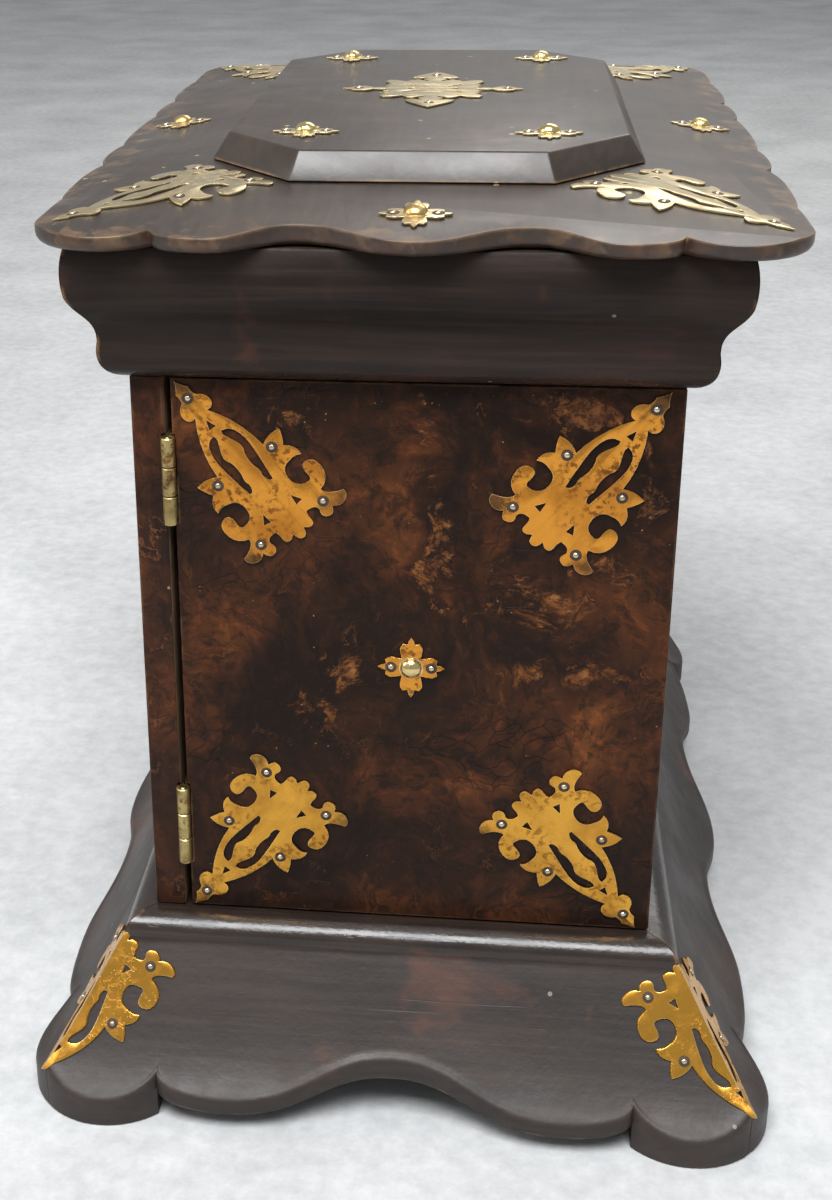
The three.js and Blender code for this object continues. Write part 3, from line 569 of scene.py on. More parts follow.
def wood_streaks():
    """Fine fibres along X, for a polished or stained board."""
    def build(tree, given):
        long = mapped(tree, given["Vector"], size=(18, 420, 420))
        fibre = noise(tree, long, 1.0, 5, 0.6, 0.3)
        pores = noise(tree, mapped(tree, given["Vector"], size=(60, 1500, 1500)), 1.0, 3, 0.7)
        pits = levels(tree, pores, 0.66, 0.80)
        return {"Fibre": fibre, "Pits": pits,
                "Height": less(tree, fibre, times(tree, pits, 0.4))}
    return group("wood streaks", [("Vector", "Vector", None)],
                 [("Fibre", "Float"), ("Pits", "Float"), ("Height", "Float")], build)


def old_polish():
    """Uneven gloss with fine scratches, shared by the varnished woods."""
    def build(tree, given):
        cloud = noise(tree, given["Vector"], 34, 5, 0.6, 0.4)
        fine = noise(tree, given["Vector"], 900, 3, 0.7)
        first = mapped(tree, given["Vector"], turn=(0.3, 0.9, 0.6), size=(9, 700, 700))
        second = mapped(tree, given["Vector"], turn=(1.1, -0.7, 2.1), size=(12, 620, 620))
        lines = [levels(tree, noise(tree, way, 1.0, 2, 0.5), 0.70, 0.74) for way in (first, second)]
        lines = greater(tree, lines[0], lines[1])
        where = levels(tree, noise(tree, given["Vector"], 21, 3), 0.54, 0.66)
        scratch = times(tree, lines, times(tree, where, 0.6))
        rough = levels(tree, cloud, 0.3, 0.7, given["Gloss low"], given["Gloss high"])
        rough = plus(tree, rough, times(tree, fine, 0.06))
        rough = plus(tree, rough, times(tree, scratch, 0.18))
        height = less(tree, times(tree, fine, 0.25), scratch)
        return {"Roughness": rough, "Scratch": scratch, "Height": height}
    return group("old polish", [("Vector", "Vector", None), ("Gloss low", "Float", 0.28),
                                ("Gloss high", "Float", 0.45)],
                 [("Roughness", "Float"), ("Scratch", "Float"), ("Height", "Float")], build)


def veneer_ground():
    """Dark mottled veneer: near-black clouds, red-brown fields and thin tan veins."""
    def build(tree, given):
        bend = wander(tree, given["Vector"], 30.0, 3.0)
        push = vectors(tree, "SUBTRACT", bend, (0.5, 0.5, 0.5))
        push = put(tree, "VectorMath", {0: push, "Scale": 0.03}, operation="SCALE").outputs[0]
        where = vectors(tree, "ADD", given["Vector"], push)
        upright = mapped(tree, where, size=(62, 62, 30))
        smear = noise(tree, upright, 1.0, 9, 0.66, 1.1)
        field = plus(tree, noise(tree, where, 17, 6, 0.55), given["Redness"])
        field = plus(tree, field, times(tree, less(tree, smear, 0.5), 0.55))
        body = ramp(tree, field, [
            (0.34, colour(0.0095, 0.0045, 0.0028)), (0.46, colour(0.0200, 0.0080, 0.0040)),
            (0.60, colour(0.0480, 0.0160, 0.0060)), (0.80, colour(0.1050, 0.0350, 0.0100))])
        small = noise(tree, where, 150, 9, 0.74, 0.4)
        body = blend(tree, levels(tree, small, 0.47, 0.60, 0.0, 0.72), body, colour(0.0085, 0.0050, 0.0036))
        ruddy = levels(tree, noise(tree, where, 250, 6, 0.7), 0.52, 0.62, 0.0, 0.4)
        body = blend(tree, ruddy, body, blend(tree, 1.0, body, colour(2.4, 1.9, 1.6), "MULTIPLY"))
        cells = put(tree, "TexVoronoi", {"Vector": where, "Scale": 170.0}, feature="DISTANCE_TO_EDGE")
        crazed = levels(tree, noise(tree, where, 28, 3), 0.50, 0.66)
        crack = times(tree, levels(tree, cells.outputs[0], 0.05, 0.0), crazed)
        body = laid(tree, body, crack, 0.6, colour(0.004, 0.003, 0.003))
        ridge = maths(tree, "ABSOLUTE", less(tree, noise(tree, where, 46, 6, 0.66), 0.5))
        vein = levels(tree, ridge, 0.010, 0.001)
        vein = times(tree, vein, levels(tree, noise(tree, where, 75, 4, 0.6), 0.50, 0.64))
        return {"Color": body, "Vein": vein, "Crack": crack, "Bent": where,
                "Height": less(tree, times(tree, small, 0.5), crack)}
    return group("veneer ground", [("Vector", "Vector", None), ("Redness", "Float", 0.0)],
                 [("Color", "Color"), ("Vein", "Float"), ("Crack", "Float"), ("Bent", "Vector"),
                  ("Height", "Float")], build)


def brass_age():
    """Tarnish in clouds, spots in clusters and fine rubbing, for the brass fittings."""
    def build(tree, given):
        cloud = levels(tree, noise(tree, given["Vector"], 70, 5, 0.6, 0.3), 0.38, 0.72)
        cluster = levels(tree, noise(tree, given["Vector"], 46, 2), 0.44, 0.58)
        spots = levels(tree, noise(tree, given["Vector"], 560, 4, 0.62), 0.51, 0.60)
        spots = times(tree, spots, cluster)
        brushed = mapped(tree, given["Vector"], turn=(0.4, 0.2, 0.9), size=(160, 1800, 160))
        rub = noise(tree, brushed, 1.0, 3, 0.6)
        return {"Cloud": cloud, "Spots": spots, "Rub": rub}
    return group("brass age", [("Vector", "Vector", None)],
                 [("Cloud", "Float"), ("Spots", "Float"), ("Rub", "Float")], build)


# Materials

def start_material(name):
    """A new material, its node tree and the Object coordinates that its patterns read."""
    material = bpy.data.materials.new(name)
    material.use_nodes = True
    tree = material.node_tree
    return material, tree, tree.nodes.new("ShaderNodeTexCoord").outputs["Object"]


def finished(material, body, rough, height, depth, strength, sheen=None, metallic=0.0):
    """Colour, roughness and fine relief go to the shader. Old polish has less sheen than varnish."""
    tree = material.node_tree
    shader = next(node for node in tree.nodes if node.type == "BSDF_PRINCIPLED")
    bump = put(tree, "Bump", {"Height": height, "Distance": depth, "Strength": strength})
    for label, value in (("Base Color", body), ("Roughness", rough), ("Normal", bump.outputs[0]),
                         ("Metallic", metallic), ("Specular IOR Level", sheen)):
        feed(tree, shader.inputs[label], value)
    return material


def rubbed_edges(tree, where, body, width, amount, share, bare):
    arris = use(tree, worn_edges(), Vector=where, Width=width, Amount=amount)["Mask"]
    return laid(tree, body, arris, share, bare)


def grained(tree, body, fibre, low, high, share, tone):
    return blend(tree, levels(tree, fibre, low, high, 0.0, share), body, tone)


def flecked(tree, where, body, scale, many, share, tone):
    flecks = use(tree, speckle(), Vector=where, Scale=scale, Share=many)["Mask"]
    return laid(tree, body, flecks, share, tone)


def patch(tree, flat, x, z, width, height, lean=0.0):
    """A soft oval on the front, at x and z in millimetres: 1 in its middle, 0 at its rim."""
    local = mapped(tree, flat, (x * MM, 0, z * MM), (0, math.radians(lean), 0),
                   (width * MM, 1, height * MM), "TEXTURE")
    return put(tree, "TexGradient", {"Vector": local}, gradient_type="SPHERICAL").outputs[1]


def most_of(tree, masks):
    total = masks[0]
    for mask in masks[1:]:
        total = greater(tree, total, mask)
    return total


# Areas of the door's veneer, as ovals: x, z, half width, half height in millimetres, and lean in degrees
TAN_SCUFFS = [(44, 218, 30, 9, 0), (38, 162, 30, 9, -8), (48, 142, 26, 6, 4), (-24, 123, 15, 13, 20),
              (12, 176, 8, 22, 14), (4, 214, 4, 18, 12), (12, 190, 4, 12, -12), (58, 172, 12, 9, 0),
              (66, 196, 6, 20, 0), (-34, 216, 12, 6, 0), (-19, 138, 10, 14, 25)]
RED_FIELDS = [(-31, 178, 17, 34, 0), (-48, 160, 18, 36, 8), (2, 214, 14, 12, 0), (-2, 184, 12, 18, 0),
              (56, 120, 10, 18, 0), (30, 205, 9, 8, 0), (24, 104, 16, 10, 0), (-50, 205, 16, 18, 0)]
DARK_FIELDS = [(14, 200, 13, 40, -6), (-40, 128, 20, 24, -10), (-36, 214, 22, 16, 0), (46, 152, 22, 14, 0),
               (0, 80, 70, 22, 0)]


def door_veneer():
    material, tree, where = start_material("door veneer")
    flat = vectors(tree, "MULTIPLY", where, (1, 0, 1))
    wobble = wander(tree, where, 60.0, 4.0)
    wobble = vectors(tree, "SUBTRACT", wobble, (0.5, 0.5, 0.5))
    wobble = vectors(tree, "MULTIPLY", wobble, (0.022, 0, 0.022))
    flat = vectors(tree, "ADD", flat, wobble)
    red = most_of(tree, [patch(tree, flat, *spot) for spot in RED_FIELDS])
    dark = most_of(tree, [patch(tree, flat, *spot) for spot in DARK_FIELDS])
    redness = less(tree, levels(tree, red, 0.0, 0.6, -0.01, 0.13),
                   levels(tree, dark, 0.0, 0.6, 0.0, 0.10))
    ground = use(tree, veneer_ground(), Vector=where, Redness=redness)
    bent = ground["Bent"]
    scuff = most_of(tree, [patch(tree, flat, *spot) for spot in TAN_SCUFFS])
    grain = noise(tree, bent, 88, 9, 0.74, 0.5)
    rubbed = levels(tree, plus(tree, grain, levels(tree, scuff, 0.0, 0.7, -0.10, 0.09)), 0.55, 0.64)
    rubbed = times(tree, rubbed, levels(tree, scuff, 0.02, 0.35))
    rubbed = times(tree, rubbed, levels(tree, noise(tree, bent, 480, 4, 0.7), 0.40, 0.56, 0.15, 1.0))
    thin = times(tree, ground["Vein"], levels(tree, scuff, 0.0, 0.3, 0.35, 1.0))
    tan = ramp(tree, noise(tree, where, 210, 4), [
        (0.35, colour(0.120, 0.040, 0.012)), (0.6, colour(0.28, 0.100, 0.026)),
        (0.8, colour(0.42, 0.19, 0.065))])
    body = blend(tree, times(tree, greater(tree, rubbed, thin), 0.55), ground["Color"], tan)
    body = rubbed_edges(tree, where, body, 0.0012, 0.34, 0.75, colour(0.30, 0.17, 0.085))
    # Pale flecks in patches: partly real specks, partly painted glints off the crazed polish
    flecks = use(tree, speckle(), Vector=where, Scale=520.0, Share=0.10)["Mask"]
    near = levels(tree, noise(tree, where, 30, 3), 0.50, 0.62)
    body = blend(tree, times(tree, flecks, times(tree, near, 0.55)), body,
                 colour(0.34, 0.23, 0.13))
    polish = use(tree, old_polish(), Vector=where, Gloss_low=0.24, Gloss_high=0.40)
    rough = plus(tree, polish["Roughness"], times(tree, rubbed, 0.2))
    height = less(tree, plus(tree, ground["Height"], polish["Height"]), rubbed)
    return finished(material, body, rough, height, 0.00016, 0.7, sheen=0.12)


def side_veneer():
    material, tree, where = start_material("side veneer")
    ground = use(tree, veneer_ground(), Vector=where, Redness=-0.03)
    body = blend(tree, times(tree, ground["Vein"], 0.6), ground["Color"], colour(0.20, 0.075, 0.026))
    streak = use(tree, wood_streaks(), Vector=mapped(tree, where, turn=(0, math.pi / 2, 0)))
    body = grained(tree, body, streak["Fibre"], 0.35, 0.7, 0.35, colour(0.03, 0.012, 0.007))
    body = rubbed_edges(tree, where, body, 0.0014, 0.30, 0.8, colour(0.22, 0.11, 0.05))
    body = flecked(tree, where, body, 300.0, 0.02, 0.6, colour(0.3, 0.22, 0.15))
    polish = use(tree, old_polish(), Vector=where, Gloss_low=0.28, Gloss_high=0.45)
    height = plus(tree, ground["Height"], polish["Height"])
    return finished(material, body, polish["Roughness"], height, 0.0001, 0.6, sheen=0.14)


def ebonised(name, grain_turn, warmth, sheen, bead):
    """Black-brown stained wood with lengthwise grain; grain_turn sets the way it runs, and bead
    the heights in millimetres between which handling has polished it."""
    material, tree, where = start_material(name)
    along = mapped(tree, where, turn=(0, 0, grain_turn))
    streak = use(tree, wood_streaks(), Vector=along)
    cloud = noise(tree, mapped(tree, along, size=(12, 30, 30)), 1.0, 5, 0.6, 0.5)
    body = ramp(tree, cloud, [
        (0.30, colour(0.0100, 0.0068, 0.0056)), (0.55, colour(0.0180, 0.0118, 0.0094)),
        (0.78, colour(0.0400 * warmth, 0.0230, 0.0165))])
    body = grained(tree, body, streak["Fibre"], 0.38, 0.75, 0.5, colour(0.040, 0.0245, 0.0180))
    red = levels(tree, noise(tree, along, 26, 4, 0.6, 0.6), 0.60, 0.74)
    body = laid(tree, body, red, 0.55, colour(0.090, 0.030, 0.016))
    body = rubbed_edges(tree, where, body, 0.0014, 0.28, 0.7, colour(0.24, 0.125, 0.055))
    body = flecked(tree, where, body, 260.0, 0.015, 0.5, colour(0.32, 0.29, 0.26))
    polish = use(tree, old_polish(), Vector=where, Gloss_low=0.42, Gloss_high=0.60)
    height = put(tree, "SeparateXYZ", {"Vector": where}).outputs[2]
    glossy = times(tree, levels(tree, height, bead[0] * MM, (bead[0] + 2.5) * MM),
                   levels(tree, height, (bead[1] + 1) * MM, (bead[1] - 1) * MM))
    rough = less(tree, polish["Roughness"], times(tree, glossy, 0.3))
    grain = times(tree, noise(tree, where, 420, 3, 0.6), 1.4)
    height = plus(tree, plus(tree, times(tree, streak["Height"], 0.8), polish["Height"]), grain)
    return finished(material, body, rough, height, 0.00012, 0.7, sheen)


def lid_lacquer():
    material, tree, where = start_material("lid lacquer")
    along = mapped(tree, where, turn=(0, 0, math.pi / 2))
    streak = use(tree, wood_streaks(), Vector=along)
    cloud = noise(tree, where, 24, 5, 0.6, 0.6)
    body = ramp(tree, cloud, [
        (0.30, colour(0.0130, 0.0088, 0.0066)), (0.55, colour(0.0220, 0.0138, 0.0095)),
        (0.80, colour(0.0500, 0.0270, 0.0155))])
    body = grained(tree, body, streak["Fibre"], 0.36, 0.72, 0.35, colour(0.050, 0.031, 0.020))
    apart = put(tree, "SeparateXYZ", {"Vector": where}).outputs
    across = maths(tree, "ABSOLUTE", less(tree, apart[0], LID_SHIFT * MM))
    edge_far = greater(tree, less(tree, across, LID_HALF_WIDTH * MM),
                    less(tree, maths(tree, "ABSOLUTE", apart[1]), LID_HALF_DEPTH * MM))
    rim_zone = levels(tree, edge_far, -0.020, -0.004)
    rub = levels(tree, plus(tree, noise(tree, where, 85, 6, 0.66), times(tree, rim_zone, 0.12)),
                 0.60, 0.70)
    rub = times(tree, rub, rim_zone)
    tan = ramp(tree, noise(tree, where, 160, 4), [
        (0.3, colour(0.10, 0.045, 0.018)), (0.6, colour(0.25, 0.14, 0.06)),
        (0.8, colour(0.42, 0.29, 0.15))])
    body = laid(tree, body, rub, 0.28, tan)
    low_rim = levels(tree, apart[2], (RIM_TOP + 0.6) * MM, (RIM_TOP - 1.2) * MM)
    dark_rim = levels(tree, apart[2], (RIM_TOP - 0.2) * MM, (RIM_TOP - 1.0) * MM)
    rub = times(tree, rub, less(tree, 1.0, dark_rim))
    rusty = times(tree, low_rim, levels(tree, noise(tree, where, 120, 5, 0.65), 0.42, 0.62))
    body = laid(tree, body, rusty, 0.5, colour(0.060, 0.022, 0.010))
    arris = use(tree, worn_edges(), Vector=where, Width=0.0015, Amount=0.42, Patch_scale=70.0)["Mask"]
    arris = times(tree, arris, less(tree, 1.0, times(tree, dark_rim, 0.8)))
    body = laid(tree, body, arris, 0.75, tan)
    body = flecked(tree, where, body, 260.0, 0.03, 0.6, colour(0.42, 0.30, 0.16))
    polish = use(tree, old_polish(), Vector=where, Gloss_low=0.27, Gloss_high=0.42)
    height = plus(tree, times(tree, streak["Height"], 0.7), polish["Height"])
    return finished(material, body, polish["Roughness"], height, 0.00009, 0.6)


def plain_wood():
    material, tree, where = start_material("plain wood")
    along = mapped(tree, where, turn=(0, 0, math.pi / 2))
    streak = use(tree, wood_streaks(), Vector=along)
    bands = noise(tree, mapped(tree, along, size=(5, 70, 70)), 1.0, 4, 0.55, 0.8)
    body = ramp(tree, bands, [(0.3, colour(0.11, 0.060, 0.030)), (0.6, colour(0.17, 0.100, 0.052)),
                              (0.8, colour(0.22, 0.140, 0.078))])
    body = laid(tree, body, streak["Pits"], 0.6, colour(0.06, 0.033, 0.018))
    rough = levels(tree, streak["Fibre"], 0.3, 0.7, 0.6, 0.78)
    return finished(material, body, rough, streak["Height"], 0.00015, 0.7)


def brass(name, clean, dull, gloss_low, gloss_high, tarnish_share):
    material, tree, where = start_material(name)
    age = use(tree, brass_age(), Vector=where)
    tint = blend(tree, times(tree, age["Cloud"], 0.75), clean, dull)
    tint = blend(tree, times(tree, age["Spots"], 0.85 * tarnish_share), tint, colour(0.16, 0.055, 0.018))
    dirty = put(tree, "Attribute", attribute_name="tarnish").outputs["Fac"]
    patchy = levels(tree, plus(tree, noise(tree, where, 150, 4, 0.6), times(tree, dirty, 0.55)),
                    0.62, 0.95)
    tint = laid(tree, tint, patchy, 0.9, colour(0.115, 0.058, 0.027))
    arris = use(tree, worn_edges(), Vector=where, Width=0.0004, Amount=0.50, Patch_scale=120.0)["Mask"]
    tint = laid(tree, tint, arris, 0.6, colour(0.98, 0.80, 0.42))
    rough = levels(tree, age["Cloud"], 0.0, 1.0, gloss_low, gloss_high)
    rough = plus(tree, rough, times(tree, age["Spots"], 0.25))
    rough = plus(tree, rough, times(tree, patchy, 0.22))
    dents = noise(tree, where, 240, 3, 0.5)
    height = plus(tree, times(tree, dents, 0.8), times(tree, age["Rub"], 0.15))
    height = less(tree, height, times(tree, age["Spots"], 0.3))
    return finished(material, tint, rough, height, 0.00025, 0.5, metallic=1.0)


def pin_metal():
    material, tree, where = start_material("pin heads")
    age = use(tree, brass_age(), Vector=where)
    tint = blend(tree, age["Cloud"], colour(0.66, 0.57, 0.42), colour(0.40, 0.29, 0.17))
    rough = levels(tree, age["Cloud"], 0.0, 1.0, 0.16, 0.34)
    return finished(material, tint, rough, age["Rub"], 0.00003, 0.5, metallic=1.0)


def pin_dirt():
    material, tree, where = start_material("dirt round the pins")
    grime = noise(tree, where, 700, 4, 0.6)
    body = ramp(tree, grime, [(0.35, colour(0.012, 0.008, 0.006)), (0.65, colour(0.055, 0.030, 0.016))])
    rough = levels(tree, grime, 0.3, 0.7, 0.55, 0.8)
    return finished(material, body, rough, grime, 0.0001, 0.6)


def pale_floor():
    material, tree, where = start_material("pale floor")
    felt = noise(tree, where, 130, 5, 0.7)
    cloud = noise(tree, where, 9, 3)
    tone = plus(tree, times(tree, felt, 0.5), times(tree, cloud, 0.5))
    body = ramp(tree, tone, [(0.35, colour(0.36, 0.365, 0.37)), (0.62, colour(0.52, 0.525, 0.53))])
    return finished(material, body, 0.9, felt, 0.001, 0.3)


# Black-brown woods: name, way of the grain, warmth, sheen, and the heights that handling polished
DARK_WOODS = {
    "base_front": ("base wood, grain across", 0, 1.0, 0.5, (46.5, 57)),
    "base_side": ("base wood, grain along", math.pi / 2, 1.25, 0.5, (46.5, 57)),
    "cornice_front": ("cornice wood, grain across", 0, 1.7, 0.16, (226, 236)),
    "cornice_side": ("cornice wood, grain along", math.pi / 2, 1.7, 0.16, (226, 236)),
}
# Brasses: name, which clean colour and its share of red, green and blue, the dull colour, the
# roughness from and to, and how far dark spots show
BRASSES = {
    "upper_brass": ("brass, reddened", "brass", (1, 0.84, 0.8), (0.40, 0.145, 0.022), 0.26, 0.44, 1.0),
    "mount_brass": ("brass, golden", "brass", (1, 1, 1), (0.44, 0.20, 0.030), 0.24, 0.42, 0.7),
    "lid_brass": ("brass, pale", "brass", (0.92, 1.52, 6.2), (0.42, 0.31, 0.16), 0.28, 0.44, 0.4),
    "stud_brass": ("brass, polished studs", "brass", (1.05, 1.68, 5.2), (0.55, 0.33, 0.12), 0.16, 0.3, 0.2),
    "hinge_brass": ("hinge brass", "hinge", (1, 1, 1), (0.26, 0.195, 0.08), 0.3, 0.5, 1.0),
}
OTHER_FINISHES = {
    "door_veneer": door_veneer, "side_veneer": side_veneer, "lid_lacquer": lid_lacquer,
    "plain_wood": plain_wood, "pin_metal": pin_metal, "pin_dirt": pin_dirt, "pale_floor": pale_floor,
}
MATERIALS = {}


def finish_of(name):
    """Each finish is made once, when a piece first asks for it."""
    if name not in MATERIALS and name in DARK_WOODS:
        MATERIALS[name] = ebonised(*DARK_WOODS[name])
    elif name not in MATERIALS and name in BRASSES:
        label, tone, shares, dull, *rest = BRASSES[name]
        clean = getattr(bpy.context.scene.vanity_box_finish, tone)
        MATERIALS[name] = brass(label, shaded(clean, *shares), colour(*dull), *rest)
    elif name not in MATERIALS:
        MATERIALS[name] = OTHER_FINISHES[name]()
    return MATERIALS[name]


# Pieces

def eased_board(node, ease):
    low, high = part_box(node)
    leave_edit()
    bpy.ops.object.select_all(action="DESELECT")
    bpy.ops.mesh.primitive_cube_add(size=1, location=(low + high) / 2)
    board = bpy.context.object
    board.scale = high - low
    settle(board)
    board.name = node + "_board"
    board.data.name = board.name
    edit_all(board)
    bpy.ops.mesh.bevel(offset=ease * MM, segments=3, profile=0.5, affect="EDGES")
    leave_edit()
    return board


def knuckle_notch(low, high):
    leave_edit()
    bpy.ops.object.select_all(action="DESELECT")
    x, y = HINGE_AXIS
    bpy.ops.mesh.primitive_cylinder_add(
        vertices=32, radius=(KNUCKLE_RADIUS + NOTCH_CLEARANCE) * MM, depth=(high - low + NOTCH_SPARE) * MM,
        location=(x * MM, y * MM, (low + high) / 2 * MM))
    settle(bpy.context.object)
    return bpy.context.object


def hinge_spans():
    spans = {}
    for label in ("lower", "upper"):
        low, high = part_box(f"hinge_{label}_pin")
        spans[label] = (low.z / MM, high.z / MM)
    return spans


def second_finish(board, material, away):
    """Faces that look the way away points get the second material: the bare inside of a board."""
    board.data.materials.append(material)
    for face in board.data.polygons:
        if face.normal.dot(Vector(away)) > 0.9:
            face.material_index = 1


def make_carcase(ease):
    insides = {"side_left": (1, 0, 0), "side_right": (-1, 0, 0), "back": (0, -1, 0), "door": (0, 1, 0)}
    for node, away in insides.items():
        board = eased_board(node, ease)
        if node in ("door", "side_left"):
            for low, high in hinge_spans().values():
                carve(board, knuckle_notch(low, high), "DIFFERENCE")
        shade(board)
        board.data.materials.clear()
        board.data.materials.append(finish_of("door_veneer" if node == "door" else "side_veneer"))
        second_finish(board, finish_of("plain_wood"), away)
        hand_over(board, None, "veneer", "door" if node == "door" else "cabinet", node)
    floor = eased_board("floor", ease)
    shade(floor)
    hand_over(floor, finish_of("plain_wood"), "plain_wood", "cabinet", "floor")


def height_on(line, out):
    """The height of an (out, z) line at a given reach."""
    for (x0, z0), (x1, z1) in zip(line, line[1:]):
        if x0 <= out <= x1 and x1 > x0:
            return z0 + (z1 - z0) * (out - x0) / (x1 - x0)
    return line[-1][1]


def skirt_column(edge, ease, tip, open_below):
    """One section of the base as (out, z) points: over the bead and the flare, round the rim and
    back underneath, where it is either open or stands on its foot."""
    flare = flare_line(60)
    last = edge - ease
    points = [(-SKIRT_LEDGE, BODY_FOOT)] + bead_line()
    points += [(out, height_on(flare, out)) for out in evenly(BEAD_REACH, last, SKIRT_ROWS)]
    top = points[-1][1]
    points += bezier(points[-1], (last + ease * 0.55, top - ease * 0.3),
                     (edge, top - ease * 0.6), (edge, top - ease * 1.3), 6)

    def under(out):
        return min(height_on(flare, out) - APRON_THICKNESS, ARCH_HEIGHT) if open_below else 0

    turned_in = edge - ease * 0.4
    points += [(edge, under(edge) + ease * 0.4), (edge - ease * 0.12, under(edge) + ease * 0.12)]
    points += [(out, under(out)) for out in evenly(turned_in, BEAD_REACH, UNDER_ROWS)]
    points.append((tip, ARCH_HEIGHT if open_below else 0))
    return points + [(tip, ARCH_HEIGHT), (-SKIRT_LEDGE, ARCH_HEIGHT)]


def skirt_length(name, side, ease):
    """A length of the base, woven from sections side by side. The sections stay square to the side
    as far as the cusp and fan out from there to the mitre. Rounding the edge of a cut block with a
    bevel left creases in the flare, so the rounded rim is part of each section."""
    turn, reach, half = SIDES[side]
    edge, cusp = SKIRT_EDGES["front" if side in ("front", "back") else "side"]
    arc = corner_arc(half, SKIRT_REACH, SKIRT_REACH, FOOT_RADIUS, cusp)
    tip = cusp - half + MITRE_GAP / 2
    stations = [(along, out, True) for along, out in edge + lobe_end(edge[-1], arc[0])]
    stations += [(along, out, False) for along, out in arc]
    points, columns = [], []
    for along, out, open_below in stations:
        far = half + out - MITRE_GAP / 2
        share = 0 if open_below else min((along - cusp) / (far - cusp), 1)
        column = []
        for o, z in skirt_column(out, ease, tip, open_below):
            mitre = half + o - MITRE_GAP / 2
            near = min(along if open_below else cusp, mitre)
            column.append((near + (mitre - near) * share, -(reach + o), z))
        columns.append(column)
    columns = [[(-x, y, z) for x, y, z in column] for column in columns[:0:-1]] + columns
    for column in columns:
        points += column
    rows = len(columns[0])
    faces = [tuple(range(rows)), tuple(range(len(points) - rows, len(points)))]
    for c in range(len(columns) - 1):
        for r in range(rows):
            near, far = c * rows, (c + 1) * rows
            faces.append((near + r, near + (r + 1) % rows, far + (r + 1) % rows, far + r))
    piece = new_piece(name, points, faces)
    piece.data.transform(Matrix.Rotation(turn, 4, "Z"))
    close_up(piece, reach=0.00002)
    return piece


def make_base(ease):
    for side in SIDES:
        node = "base_" + side
        length = skirt_length(node + "_skirt", side, ease)
        shade(length, 40)
        even_shading(length)
        stay_inside(length)
        along = "base_front" if side in ("front", "back") else "base_side"
        hand_over(length, finish_of(along), "ebonised", "cabinet", node)


def cornice_section():
    foot, reach = CORNICE_FOOT, CORNICE_REACH
    start = (foot * 0.08, BODY_TOP)
    bead = (foot, BODY_TOP + CORNICE_BEAD_HEIGHT)
    neck = (foot * 0.96, BODY_TOP + CORNICE_NECK_HEIGHT)
    swell = (reach * 0.95, BODY_TOP + CORNICE_SWELL_HEIGHT)
    top = (reach * 0.9, CORNICE_TOP)

    def up(low, high, share):
        return low[1] + (high[1] - low[1]) * share

    line = [(-SIDE_THICKNESS, BODY_TOP), start]
    for low, first, second, high, steps in (
            (start, (foot * 0.75, up(start, bead, 0.12)), (foot, up(start, bead, 0.54)), bead, 10),
            (bead, (foot, bead[1] + CORNICE_BEAD_PULL),
             (foot * 0.94, neck[1] - CORNICE_NECK_PULL), neck, 5),
            (neck, (neck[0], up(neck, swell, 0.44)), (reach * 0.82, up(neck, swell, 0.6)), swell, 12),
            (swell, (reach * 1.02, up(swell, top, 0.29)), (reach * 1.02, up(swell, top, 0.7)), top, 10)):
        line += bezier(low, first, second, high, steps)
    return line + [(-SIDE_THICKNESS, CORNICE_TOP)]


def make_cornice(ease):
    for side in SIDES:
        node = "cornice_" + side
        length = moulding(node + "_moulding", cornice_section(), side)
        ease_edges(length, ease * 0.5, 2, 50)
        shade(length, 40)
        even_shading(length)
        along = "cornice_front" if side in ("front", "back") else "cornice_side"
        hand_over(length, finish_of(along), "ebonised", "cabinet", node)


def lid_rise(x, y):
    """Height of the lid board's top at x and y from the lid's middle."""
    inside = min(LID_HALF_WIDTH - abs(x), LID_HALF_DEPTH - abs(y), LID_SLOPE_WIDTH)
    return RIM_TOP + LID_RISE / LID_SLOPE_WIDTH * inside


def rectangle(half_width, half_depth):
    return [(x * half_width, y * half_depth) for x, y in ((-1, -1), (1, -1), (1, 1), (-1, 1))]


def octagon(grow):
    end, side = PANEL_END_HALF_WIDTH, PANEL_HALF_WIDTH
    y0, y1 = PANEL_HALF_LENGTH, PANEL_HALF_LENGTH - PANEL_CHAMFER
    slant = math.hypot(side - end, y0 - y1)
    a = (end + grow * (slant - (side - end)) / (y0 - y1), y0 + grow)
    b = (side + grow, y1 + grow * (slant - (y0 - y1)) / (side - end))
    return [(-a[0], -a[1]), (a[0], -a[1]), (b[0], -b[1]), (b[0], b[1]),
            (a[0], a[1]), (-a[0], a[1]), (-b[0], b[1]), (-b[0], -b[1])]


def any_wall_meets(piece, edge):
    """True for an edge between the flat underside and the upright rim."""
    ends = set(edge.vertices)
    return any(ends <= set(face.vertices) and abs(face.normal.z) < 0.5 for face in piece.data.polygons)


